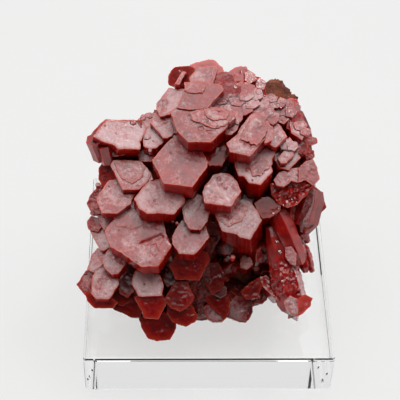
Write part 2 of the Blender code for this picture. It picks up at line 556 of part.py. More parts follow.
# --------------------------------------------------------------------- build
def main():
    clear_scene()
    parts = collection("vanadinite_on_matrix")
    guides = collection("cutters")

    acrylic = material("clear_acrylic", (0.93, 0.94, 0.93), 0.03, transmission=1.0)
    rock_mat = material("brown_matrix", (0.20, 0.085, 0.045), 0.8)
    red = material("vanadinite", (0.33, 0.022, 0.012), 0.35)
    red_blade = material("vanadinite_blades", (0.38, 0.035, 0.014), 0.4)

    # display block
    bpy.ops.mesh.primitive_cube_add(size=1.0, location=(0, 0, BLOCK_HEIGHT / 2))
    block = bpy.context.object
    block.name = "acrylic_block"
    block.data.transform(Matrix.Diagonal((BLOCK_SIDE, BLOCK_SIDE, BLOCK_HEIGHT, 1.0)))
    for coll in list(block.users_collection):
        coll.objects.unlink(block)
    parts.objects.link(block)
    block.data.materials.append(acrylic)
    edge = block.modifiers.new("Edge", 'BEVEL')
    edge.width = BLOCK_EDGE
    edge.segments = 2
    edge.limit_method = 'ANGLE'

    # rock
    rock = add_object("matrix", rock_mesh("matrix"), parts, rock_mat)
    rock.data.shade_smooth()
    rock.data.set_sharp_from_angle(angle=math.radians(50))
    rock_grown = as_guide(add_object("matrix_clearance",
                                     rock_mesh("matrix_clearance", PIECE_GAP), guides))

    # clearance that keeps everything off the block
    bpy.ops.mesh.primitive_cube_add(size=1.0, location=(0, 0, 0))
    floor_cut = bpy.context.object
    floor_cut.name = "block_clearance"
    floor_cut.data.transform(Matrix.Diagonal((0.2, 0.2, 2 * (BLOCK_HEIGHT + REST_GAP), 1.0)))
    for coll in list(floor_cut.users_collection):
        coll.objects.unlink(floor_cut)
    guides.objects.link(floor_cut)
    as_guide(floor_cut)

    # tablets, blades and their clearances
    tablets = collection("tablets")
    guides.children.link(tablets)
    bpy.context.scene.collection.children.unlink(tablets)
    for spec in TABLETS:
        tablet(spec, tablets)
    blades = collection("blades")
    guides.children.link(blades)
    bpy.context.scene.collection.children.unlink(blades)
    blade_room = collection("blade_clearance")
    guides.children.link(blade_room)
    bpy.context.scene.collection.children.unlink(blade_room)
    blade_solids = [tablet(spec, blades) for spec in BLADES]
    for spec in BLADES:
        tablet(spec, blade_room, grow=PIECE_GAP)

    # crystal cluster
    rng = np.random.default_rng(11)
    for spec in TABLETS:
        xs = [corner[0] for corner in spec[5]]
        if max(xs) - min(xs) > ROOT_FROM:
            tablet(root(spec), tablets)
    flank_tablets(tablets, rng)
    core = as_guide(add_object("crystal_core", core_mesh("crystal_core"), guides))
    crust = as_guide(add_object("crystal_crust", crust_mesh("crystal_crust"), guides))
    recess = hollow("recess", (9.5, -13.2, 4.5), (9.5, 9.0, 10.0), guides)
    boolean(core, 'UNION', crust)
    boolean(core, 'DIFFERENCE', recess)
    boolean(core, 'UNION', tablets)
    boolean(core, 'DIFFERENCE', rock_grown)
    boolean(core, 'DIFFERENCE', blade_room)
    boolean(core, 'DIFFERENCE', floor_cut)
    settle(core, "crystal_cluster", parts, red)

    # blades
    first = blade_solids[0]
    blades.objects.unlink(first)
    guides.objects.link(first)
    boolean(first, 'UNION', blades)
    boolean(first, 'DIFFERENCE', rock_grown)
    boolean(first, 'DIFFERENCE', floor_cut)
    settle(first, "crystal_blades", parts, red_blade)

    # small groups on the hidden faces of the rock
    for name, spec in SPARE_GROUPS.items():
        group = collection(name + "_tablets")
        guides.children.link(group)
        bpy.context.scene.collection.children.unlink(group)
        members = spare_group(name + "_t", spec, group, rng)
        base = members[0]
        group.objects.unlink(base)
        guides.objects.link(base)
        boolean(base, 'UNION', group)
        boolean(base, 'DIFFERENCE', rock_grown)
        boolean(base, 'DIFFERENCE', floor_cut)
        settle(base, name, parts, red)


main()
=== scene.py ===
import math

import bmesh
import bpy
import numpy as np
from mathutils import Matrix, Vector, noise
from mathutils.bvhtree import BVHTree
from mathutils.geometry import delaunay_2d_cdt


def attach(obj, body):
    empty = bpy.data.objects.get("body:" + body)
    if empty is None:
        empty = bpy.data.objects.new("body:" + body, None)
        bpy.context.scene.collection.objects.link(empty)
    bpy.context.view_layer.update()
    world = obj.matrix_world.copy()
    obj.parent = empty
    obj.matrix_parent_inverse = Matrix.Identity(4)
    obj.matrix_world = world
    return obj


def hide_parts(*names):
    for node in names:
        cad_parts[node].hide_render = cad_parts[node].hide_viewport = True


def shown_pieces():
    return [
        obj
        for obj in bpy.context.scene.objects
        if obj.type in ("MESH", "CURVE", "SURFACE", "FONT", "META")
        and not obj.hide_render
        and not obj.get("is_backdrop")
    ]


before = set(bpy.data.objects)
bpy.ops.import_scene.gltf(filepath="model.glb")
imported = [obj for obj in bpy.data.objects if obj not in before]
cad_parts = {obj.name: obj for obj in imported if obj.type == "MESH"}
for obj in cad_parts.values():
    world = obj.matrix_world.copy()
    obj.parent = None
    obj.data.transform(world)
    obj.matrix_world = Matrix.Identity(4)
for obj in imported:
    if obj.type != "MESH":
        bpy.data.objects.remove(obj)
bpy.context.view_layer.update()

MM = 0.001
BLOCK_HEIGHT = 11.0        # mm, as everything below unless it says otherwise
REST_GAP = 0.3

# The drawing board that the tablets are laid out on: 400 by 400 squares seen
# from EYE. The same frame and the same table are in the construction.
EYE = np.array([-8.3, -168.9, 211.8])
AZIMUTH, ELEVATION, ROLL = (math.radians(a) for a in (2.192, 47.047, 1.656))
BOARD_SCALE = 1238.6
FOCUS = np.array([0.0, 0.0, 30.0])


def board_axes():
    forward = np.array([math.sin(AZIMUTH) * math.cos(ELEVATION),
                        math.cos(AZIMUTH) * math.cos(ELEVATION), -math.sin(ELEVATION)])
    right = np.cross(forward, [0, 0, 1.0])
    right /= np.linalg.norm(right)
    up = np.cross(right, forward)
    c, s = math.cos(ROLL), math.sin(ROLL)
    return c * right + s * up, -s * right + c * up, forward


RIGHT, UP, FORWARD = board_axes()
FOCUS_DEPTH = float((FOCUS - EYE) @ FORWARD)


def sight_line(x, y):
    return FORWARD + RIGHT * ((x - 200.0) / BOARD_SCALE) - UP * ((y - 200.0) / BOARD_SCALE)


def board_point(u, v, w):
    return FOCUS + RIGHT * u + UP * v - FORWARD * w


# Tablets: name, depth of the face towards the eye (mm), sideways and upward
# tilt of its normal, thickness (mm), corners on the board.
TABLETS = [
("crown", 14.0, 0.0, 0.38, 4.5, [(169.5,111),(177,131.5),(188,142.3),(211.5,142.5),(227,127.5),(231,118),(226,108),(207,106),(180,104)]),
("crown_stub", 10.5, -0.1, 0.30, 5, [(171.5,134),(180,128),(196,130),(192,150),(178,152),(172,143)]),
("shoulder", 12.2, 0.0, 0.36, 4, [(190,84),(198,80),(207,81.5),(222,85),(224.3,89.5),(213,102.5),(208,108.5),(190,110),(176,108),(183.5,92)]),
("top_plate", 9.6, 0.0, 0.40, 4, [(189,77),(199,66.5),(216.5,65.5),(218.5,70),(216,75),(213.5,84),(207,90),(190,88)]),
("top_rim", 7.2, 0.05, 0.45, 3.5, [(187,72),(190,64.5),(196,62),(209.5,59),(215,59.5),(219,64.5),(223,67),(224,71),(216,80),(192,80)]),
("left_stack", 7.5, -0.25, 0.05, 6, [(167.5,77),(170,71),(175,66.5),(190,65.5),(194,68),(191,80),(187,85),(180,89),(168,85)]),
("upper_left_a", 9.3, -0.08, 0.36, 4, [(168.5,87.5),(186,88.5),(182,107),(172,114),(160,117),(155.5,108.5),(156,103.5)]),
("upper_left_b", 9.6, 0.02, 0.38, 3.6, [(158,116.5),(169.5,109),(178,113),(180,129),(172,136),(168,138.5),(163,138.5),(160,134),(155,129),(150,123),(152,118)]),
("upper_left_c", 9.0, 0.0, 0.36, 3.6, [(150,122.5),(155,127),(162,130),(167,139),(158,148),(150,149.5),(143,146.5),(142.5,140),(143,134)]),
("upper_left_d", 6.6, -0.1, 0.36, 4, [(137,119.5),(147,112),(156,112.5),(160,117),(158,124),(150,130),(143,128)]),
("wing_base", 7.4, -0.15, 0.10, 5.5, [(89,136.3),(98.5,124.5),(105.5,119),(142,120),(141,149),(120,156),(104,159.5),(97,155.5)]),
("wing", 9.2, 0.15, 0.38, 3.6, [(92.5,136.3),(106.5,119.5),(142,120.5),(147,127.5),(141,142),(140.5,149.5),(118,149.5),(114,145.5),(103,142)]),
("left_second", 8.6, 0.02, 0.36, 3.2, [(110,165),(113,159.8),(130,159.5),(141,161),(148,168),(152,175),(147,183),(139.5,190),(122.5,190),(118,181)]),
("left_chip", 8.6, -0.05, 0.30, 3, [(141,174),(146,170.5),(151,171.5),(153.5,180),(145,184)]),
("left_small_a", 4.6, -0.15, 0.35, 3, [(103,172),(107,168),(114,172),(112,179),(104,180)]),
("left_small_b", 4.6, -0.1, 0.35, 3, [(103,179),(108,176),(115,179),(114,184),(104,185)]),
("left_third", 8.2, 0.02, 0.36, 2.8, [(95.5,199),(104,186),(108,180),(122,178),(140,184),(138,191.5),(132.5,199),(131,204),(117,213.8),(101.5,213.5)]),
("left_third_base", 5.2, -0.25, 0.15, 4.5, [(86,203),(90,195),(95,189),(103,182),(118,186),(112,212),(92,215)]),
("left_fourth", 5.0, 0.0, 0.30, 4, [(97,214),(99.5,209),(112,208),(120,212),(114,218.5),(108,228),(104,231),(100,224)]),
("left_tiny", 4.4, -0.2, 0.30, 2.5, [(93,209),(98,205),(103,210),(97,215)]),
("left_red_a", 4.0, -0.25, 0.20, 4, [(86,222),(91,215.5),(99,217),(103,226),(98,232),(88,230)]),
("left_red_b", 4.4, -0.15, 0.34, 4.5, [(89,226),(100,224),(110,230),(112,246),(104.5,251),(100,250.5),(90,232)]),
("left_big", 9.0, -0.02, 0.36, 4.2, [(104,231),(117.5,213.5),(124,204),(136,200),(150,204),(162,214),(167,235),(172,246.5),(158.5,266.8),(141,267),(120,252.5),(109.5,246.5)]),
("centre_left", 10.8, 0.05, 0.38, 4.2, [(133.5,199),(139,191),(148,181),(162,178),(180,186),(186,200),(183,203.5),(174.5,214.8),(160,213.5),(147,214),(139,209)]),
("centre", 12.4, 0.0, 0.38, 5.5, [(151.5,160),(168,141),(180,132),(196,138),(208.5,162),(207.5,167),(192.5,187.3),(163.3,183.7)]),
("centre_right", 10.3, 0.05, 0.34, 4.5, [(200,150),(209,166),(222,166),(230,154),(224,140),(208,138)]),
("heart", 11.8, 0.0, 0.38, 5.2, [(204.3,203),(202,192),(204.5,185),(209.5,180),(213,174.5),(221,172.5),(230,173.5),(237,181),(241.7,191),(231,207.3)]),
("right_big", 12.8, 0.0, 0.36, 5.0, [(226,143),(236,135),(240,127.5),(249,116),(252,113),(263.5,113),(266.5,121),(272.7,130.7),(262,143),(250,156.6),(229.8,152)]),
("right_second", 10.8, 0.0, 0.38, 9, [(234.6,166.8),(234,152),(244,146),(262,146),(273.5,149),(276,154),(272,158.5),(273.2,163),(271.3,166),(273,171.4),(260.7,185.2),(248.6,183),(244,176.4),(238.2,176)]),
("right_third", 10.4, 0.05, 0.36, 4, [(266,132),(271,125),(275,122.5),(279,123.5),(284,130),(287.7,136.5),(276.2,148),(273.5,147),(266,142)]),
("right_fourth", 9.2, 0.05, 0.36, 3, [(277.3,158),(282,152),(288.5,148.5),(292.5,150),(294.5,155),(286.5,163.3),(280.8,163.6)]),
("right_fourth_base", 7.6, 0.12, 0.34, 4, [(272,156),(279,168),(289,170.5),(301,158),(296,148),(282,146)]),
("right_edge_a", 7.6, 0.12, 0.34, 4.5, [(289,122),(302,118),(308,124.5),(306,131),(302.5,140.5),(291,133)]),
("right_small_a", 6.8, 0.1, 0.34, 3, [(287,106),(293,105),(296,109),(291,116),(286,116.5)]),
("right_small_b", 6.9, 0.05, 0.34, 3, [(277,110),(284,108.5),(288,113),(286,119.5),(280,118)]),
("right_small_c", 6.9, 0.05, 0.34, 3, [(273,96),(278,96),(277,102),(275,108),(269,106)]),
("right_upper", 9.6, 0.0, 0.36, 3.6, [(255,101),(270,101.5),(275.5,118),(269,124),(258,122),(250,112)]),
("upper_mid_a", 9.0, 0.0, 0.38, 3.4, [(236,92),(242,82.5),(248,81.5),(254.5,86.5),(260,96),(256,104),(243,104)]),
("upper_mid_b", 10.6, 0.0, 0.36, 3.8, [(218,94),(238,92),(249,100),(247,108.5),(242,116),(236,122),(224,118),(206,104)]),
("upper_mid_c", 11.4, 0.05, 0.38, 3.4, [(222,134.5),(231.8,135),(237.5,130.5),(240,124),(242,117),(238,111),(228,113),(222,124)]),
("top_red", 9.0, 0.05, 0.16, 5, [(214,78),(219,72),(223,71),(231,72),(235,77),(238,85),(238,94),(228,96),(220,92),(214,85)]),
("top_orange", 5.6, 0.1, 0.30, 4, [(228,72),(234,67.5),(242,65.5),(247,66.5),(248.5,70.5),(252,77),(248,82),(233,82)]),
("top_facet_a", 6.0, 0.1, 0.40, 2.5, [(245,73),(248,69),(255,73),(258,79),(250,84),(244,80.5)]),
("top_facet_b", 5.6, 0.15, 0.40, 2.5, [(254,80),(260,77),(267,82),(264,90),(256,88)]),
("top_dark", 5.4, 0.15, 0.05, 5, [(248,82),(265,85),(268,98),(260,106),(252,98)]),
("right_orange", 4.8, 0.2, 0.20, 3.5, [(284,100),(291,97.5),(297,99),(299,104),(294,110),(286,108)]),
("right_stub", 4.4, 0.3, 0.15, 5, [(302,137),(311,136.5),(317,137.5),(318.5,140),(317.5,144),(304,146)]),
("right_red_a", 6.0, 0.15, 0.10, 5, [(296,142.5),(306,143.5),(310,148),(309,155),(300,158),(295,148)]),
("right_red_b", 3.4, 0.25, 0.15, 4, [(304,147),(314.5,150.5),(314,158),(306,160)]),
("right_lump_a", 8.2, 0.05, 0.20, 7, [(270,180),(277,172.5),(290,170),(295,178),(296,196),(288,206),(278,203),(272,195)]),
("right_lump_b", 8.0, 0.15, 0.28, 8, [(286,171),(300,164),(306,159.5),(313,158),(318,170),(320,180),(314,192),(303,200),(292,196)]),
("far_right_a", 2.6, 0.30, 0.25, 7, [(303,197),(311,187),(318,186),(324,200),(327,209),(319,216),(313,228),(305,233),(302,215)]),
("far_right_b", 3.4, 0.1, 0.38, 4, [(294,212),(303,199),(311,198),(312,206),(302,221),(296,219)]),
("low_right_big", 10.2, -0.05, 0.40, 11.5, [(214,214),(222,203),(240,199),(250,201),(256,208),(262.3,220),(250.5,239.8),(241,238),(235,234),(222,232)]),
("low_right_small", 5.0, 0.0, 0.38, 3, [(240,258),(250,256),(254,264),(247,270),(240,268)]),
("low_mid_a", 9.6, 0.0, 0.36, 4.0, [(181.5,208),(184,201),(190,197),(198,193),(206,198),(212,207),(208,221),(200.5,230.3),(189.5,229.5),(184,221)]),
("low_mid_b", 9.9, 0.0, 0.36, 3.4, [(171.5,237),(176,227.5),(182,219.5),(195,219),(206,225),(209.7,237),(198,252),(193.6,255),(178.6,254),(172,243.5)]),
("low_mid_c", 6.2, 0.0, 0.02, 6, [(169,265),(176,254),(200,250),(208,252),(210,260),(206,268),(199.5,280.8),(175.5,279.8)]),
("low_mid_d", 3.2, 0.0, 0.15, 6, [(200,275),(208,262),(219,262),(225,274),(225,283),(221,290),(212,296)]),
("low_left_a", 5.6, 0.0, 0.32, 4, [(131,283),(134.5,270),(147,268),(160,274),(164,285),(162,296),(138.5,297)]),
("low_left_b", 5.6, 0.0, 0.08, 6, [(134,297),(146,291),(162,293),(167.5,302.5),(158.5,319.5),(144.5,318.5)]),
("low_centre_a", 5.4, 0.0, 0.22, 5, [(164,299),(171,287),(175.5,280),(188,281),(191,289),(195,298),(189,307),(180,312),(170,308)]),
("low_centre_b", 3.8, 0.0, 0.05, 6, [(167,302),(178,296),(190,301),(198,316),(196,322),(186,327),(178,325),(172,322),(166,312)]),
("foot_left", 1.2, 0.0, 0.02, 7, [(138,318),(150,310),(166,312),(176,322),(176.5,329),(170,340),(157,341.5),(148,339),(142,330)]),
("foot_mid_a", 2.0, 0.0, 0.18, 2.2, [(203,308),(207,303),(216,302),(221,308),(226,318),(222,322),(213,322.5),(207,319)]),
("foot_mid_b", 2.2, 0.0, 0.12, 6, [(204,299),(212,291),(219,286),(224,288),(230,300),(230,313),(225,320),(213,310)]),
("foot_right", 0.6, 0.05, 0.10, 5, [(227,302),(236,295),(249,297),(253,303),(253,312),(250,319),(246,323),(240,322.5),(228,318)]),
("foot_far", 0.2, 0.05, 0.10, 5, [(252,286),(260,277),(268,276),(270,286),(267,300),(262,304.5),(254,304)]),
("foot_far_b", -1.2, 0.1, 0.10, 5, [(264,284),(274,276),(284,284),(286,298),(276,301),(268,296)]),
("left_low_a", 5.0, 0.05, 0.34, 4.6, [(101.3,260.5),(114,266),(119.3,276),(119,285),(109.5,299.5),(96,299.3),(91,294),(92,276)]),
("left_low_b", 3.2, -0.2, 0.10, 5, [(76,284.5),(86,270),(94,268),(98,280),(94,297),(86,297),(81,291)]),
("left_low_c", 3.8, -0.15, 0.30, 4, [(91,255),(97,248),(104,248),(108,256),(102,266),(94,273),(86,270),(89,263)]),
("left_low_d", 6.0, 0.0, 0.34, 4, [(101.7,259.3),(108,248.5),(116,246),(126,254),(126,264),(118.5,274),(111.3,275),(104,268)]),
("left_low_e", 3.4, 0.0, 0.25, 4, [(117,282),(124,274),(134,278),(136,290),(128,298),(119,294)]),
("left_foot", 2.2, -0.05, 0.12, 6, [(110,301),(120,294),(135,293),(142,306),(141,318),(131,318),(124,314),(113,310)]),
("low_gray", 3.2, 0.0, 0.25, 4, [(160,280),(168,266),(176,268),(178,282),(168,288)]),
("right_fracture", 7.2, 0.1, 0.30, 5, [(254,203),(262,197),(273,196),(281,203),(281,211),(270,218),(262,219),(256,210)]),
("left_filler", 5.0, -0.10, 0.06, 5, [(98.5,168),(104,158),(115,158),(118,182),(102,186),(98,179)]),
("left_low_base", 4.0, -0.05, 0.02, 5, [(84,291),(96,296),(112,298),(118,303),(113,308.5),(94,308.5),(87,301)]),
]

BLADES = [
("blade_plate", 1.6, 0.0, 0.04, 5.5, [(283,252),(290,248),(299,248),(303,260),(312,270),(313,290),(313,300),(309,311),(301,318),(296,319),(289,312),(282,304),(285,294),(289,286),(288,275),(284,262)]),
("blade_left", 3.2, -0.25, 0.10, 5.5, [(270,219),(277,213),(285,212),(291,222),(297,238),(300,250),(290,254),(283,250),(273,240)]),
("blade_red", 1.8, 0.25, 0.10, 5.0, [(284,212),(296,212),(303,226),(306,240),(305,250),(298,256),(290,240)]),
("blade_olive", 1.2, 0.30, 0.08, 4.5, [(295,246),(304,242),(310,252),(315,262),(316,267),(313,272),(306,270),(299,262)]),
]

OUTLINE = [(167,80),(176,68),(192,65),(213,61),(224,71),(236,69),(247,68),
           (262,79),(284,89),(296,99),(301,115),(308,127),(309,142),(312,158),
           (318,180),(323,200),(324,208),(312,222),(305,235),(306,250),(312,270),
           (311,290),(310,306),(298,316),(284,302),(266,296),(252,303),(246,321),
           (226,317),(204,309),(192,322),(172,330),(158,339),(147,330),(138,316),
           (113,306),(90,303),(79,286),(90,265),(96,247),(90,228),(92,213),
           (89,202),(101,186),(100,172),(101,157),(92,136),(106,121),(139,121),
           (158,112),(158,102),(169,89)]

SPARE_GROUPS = {
    "crystals_back_top": ((0.10, 0.93, 0.34), 6.0, 5),
    "crystals_back_left": ((-0.50, 0.86, -0.06), 5.0, 4),
    "crystals_back_right": ((0.62, 0.76, -0.10), 5.0, 4),
    "crystals_back_low": ((-0.10, 0.93, -0.42), 4.5, 3),
}

# ------------------------------------------------------------------ noise
_perm = np.random.default_rng(20).permutation(256)
_perm = np.concatenate([_perm, _perm])
_grad = np.array([[1, 1, 0], [-1, 1, 0], [1, -1, 0], [-1, -1, 0], [1, 0, 1], [-1, 0, 1],
                  [1, 0, -1], [-1, 0, -1], [0, 1, 1], [0, -1, 1], [0, 1, -1], [0, -1, -1]],
                 dtype=float)


def perlin(p):
    """Gradient noise of an (n, 3) array of points, about -0.8 to 0.8."""
    cell = np.floor(p).astype(int)
    f = p - cell
    cell &= 255
    s = f * f * f * (f * (f * 6 - 15) + 10)
    total = np.zeros(len(p))
    for dx in (0, 1):
        for dy in (0, 1):
            for dz in (0, 1):
                h = _perm[_perm[_perm[(cell[:, 0] + dx) & 255] + ((cell[:, 1] + dy) & 255)]
                          + ((cell[:, 2] + dz) & 255)] % 12
                d = (_grad[h] * (f - (dx, dy, dz))).sum(1)
                wx = s[:, 0] if dx else 1 - s[:, 0]
                wy = s[:, 1] if dy else 1 - s[:, 1]
                wz = s[:, 2] if dz else 1 - s[:, 2]
                total += d * wx * wy * wz
    return total


def fbm(p, octaves=4, gain=0.5, lac=2.07):
    total = np.zeros(len(p))
    amp = 1.0
    for i in range(octaves):
        total += amp * perlin(p + 17.3 * i)
        p = p * lac
        amp *= gain
    return total


def smooth(lo, hi, x):
    t = np.clip((x - lo) / (hi - lo), 0, 1)
    return t * t * (3 - 2 * t)


def polygon_distance(points, poly):
    """Signed distance of 2-D points to a polygon, positive inside."""
    a = poly
    b = np.roll(poly, -1, 0)
    best = np.full(len(points), 1e9)
    inside = np.zeros(len(points), bool)
    for p0, p1 in zip(a, b):
        e = p1 - p0
        w = points - p0
        t = np.clip((w @ e) / max(e @ e, 1e-12), 0, 1)
        best = np.minimum(best, np.linalg.norm(w - t[:, None] * e, axis=1))
        hit = ((p0[1] > points[:, 1]) != (p1[1] > points[:, 1]))
        with np.errstate(divide='ignore', invalid='ignore'):
            x = (p1[0] - p0[0]) * (points[:, 1] - p0[1]) / (p1[1] - p0[1]) + p0[0]
        inside ^= hit & (points[:, 0] < x)
    return np.where(inside, best, -best)


# --------------------------------------------------------------- crystals
class Face:
    """The plane of a tablet's face, with its own flat coordinates in mm."""

    def __init__(self, depth, tilt_x, tilt_y, corners):
        self.normal = (RIGHT * tilt_x + UP * tilt_y
                       - FORWARD * math.sqrt(1 - tilt_x ** 2 - tilt_y ** 2))
        xs = [c[0] for c in corners]
        ys = [c[1] for c in corners]
        self.middle = EYE + sight_line((min(xs) + max(xs)) / 2,
                                       (min(ys) + max(ys)) / 2) * (FOCUS_DEPTH - depth)
        self.side = np.cross(UP, self.normal)
        self.side /= np.linalg.norm(self.side)
        self.rise = np.cross(self.normal, self.side)
        self.outline = self.flat(corners)

    def flat(self, corners):
        out = []
        for x, y in corners:
            ray = sight_line(x, y)
            hit = EYE + ray * (((self.middle - EYE) @ self.normal) / (ray @ self.normal))
            out.append(((hit - self.middle) @ self.side, (hit - self.middle) @ self.rise))
        return np.array(out)

    def place(self, flat, height):
        return (self.middle + flat[:, :1] * self.side + flat[:, 1:2] * self.rise
                + height[:, None] * self.normal)


class FreeFace(Face):
    """A face placed by its middle and normal instead of on the board."""

    def __init__(self, middle, normal, outline, turn=0.0):
        self.normal = np.asarray(normal, float) / np.linalg.norm(normal)
        self.middle = np.asarray(middle, float)
        helper = np.array([0.0, 0.0, 1.0]) if abs(self.normal[2]) < 0.9 else np.array([1.0, 0, 0])
        self.side = np.cross(helper, self.normal)
        self.side /= np.linalg.norm(self.side)
        self.rise = np.cross(self.normal, self.side)
        self.outline = np.asarray(outline, float)


def dense_loop(outline, step, corner):
    """The outline with its corners cut by a small chamfer and its edges
    divided; returns the points, counter-clockwise."""
    area = 0.0
    n = len(outline)
    for i in range(n):
        x0, y0 = outline[i]
        x1, y1 = outline[(i + 1) % n]
        area += x0 * y1 - x1 * y0
    if area < 0:
        outline = outline[::-1]
    pts = []
    for i in range(n):
        prev, here, nxt = outline[i - 1], outline[i], outline[(i + 1) % n]
        for other, first in ((prev, True), (nxt, False)):
            d = other - here
            length = np.linalg.norm(d)
            c = min(corner, 0.25 * length)
            pts.append(here + d / length * c)
    out = []
    m = len(pts)
    for i in range(m):
        a, b = pts[i], pts[(i + 1) % m]
        length = np.linalg.norm(b - a)
        k = max(1, int(round(length / step)))
        for j in range(k):
            out.append(a + (b - a) * (j / k))
    return np.array(out)


def face_points(loop, outline, step, lines):
    """Triangulates the inside of a face: its edge loop, a staggered grid and
    pairs of points along each line where the height changes."""
    low, high = loop.min(0), loop.max(0)
    rows = int((high[1] - low[1]) / (step * 0.866)) + 2
    cols = int((high[0] - low[0]) / step) + 2
    gy, gx = np.mgrid[0:rows, 0:cols]
    grid = np.stack([low[0] + (gx + 0.5 * (gy % 2)) * step, low[1] + gy * step * 0.866], -1)
    grid = grid.reshape(-1, 2)
    grid = grid[polygon_distance(grid, loop) > 0.45 * step]
    for line in lines:
        if len(line) and len(grid):
            d = np.min(np.linalg.norm(grid[:, None] - line[None], axis=2), axis=1)
            grid = grid[d > 0.12]
    extra = [line for line in lines if len(line)]
    if extra:
        extra = np.concatenate(extra)
        extra = extra[polygon_distance(extra, loop) > 0.10]
        grid = np.concatenate([grid, extra])
    pts = [Vector(p) for p in np.concatenate([loop, grid]).tolist()]
    n = len(loop)
    edges = [(k, (k + 1) % n) for k in range(n)]
    out, _, faces, origin, _, _ = delaunay_2d_cdt(pts, edges, [], 1, 1e-6)
    place = np.array([p[:] for p in out])
    names = []
    for group in origin:
        rim = [k for k in group if k < n]
        names.append(rim[0] if rim else -1)
    return place, names, faces


def mark_lines(poly, gap=0.05, spacing=0.16):
    """Points just inside and just outside the edges of a polygon."""
    out = []
    for a, b in zip(poly, np.roll(poly, -1, 0)):
        length = np.linalg.norm(b - a)
        if length < 1e-6:
            continue
        across = np.array([a[1] - b[1], b[0] - a[0]]) / length
        count = max(1, int(length / spacing))
        t = (np.arange(count) + 0.5) / count
        base = a + (b - a) * t[:, None]
        out += [base + across * gap, base - across * gap]
    return np.concatenate(out) if out else np.zeros((0, 2))


def platelets(outline, rng, count, size):
    """Outlines of thin growth platelets lying on a face, parallel to its sides."""
    centre = outline.mean(0)
    spread = np.linalg.norm(outline - centre, axis=1).mean()
    out = []
    for _ in range(count):
        scale = size * rng.uniform(0.6, 1.3)
        shift = rng.uniform(-0.55, 0.55, 2) * spread
        squash = np.array([rng.uniform(0.7, 1.2), rng.uniform(0.7, 1.2)])
        poly = centre + shift + (outline - centre) * scale * squash
        poly = poly + rng.uniform(-0.10, 0.10, poly.shape) * spread * scale
        out.append(poly)
    return out


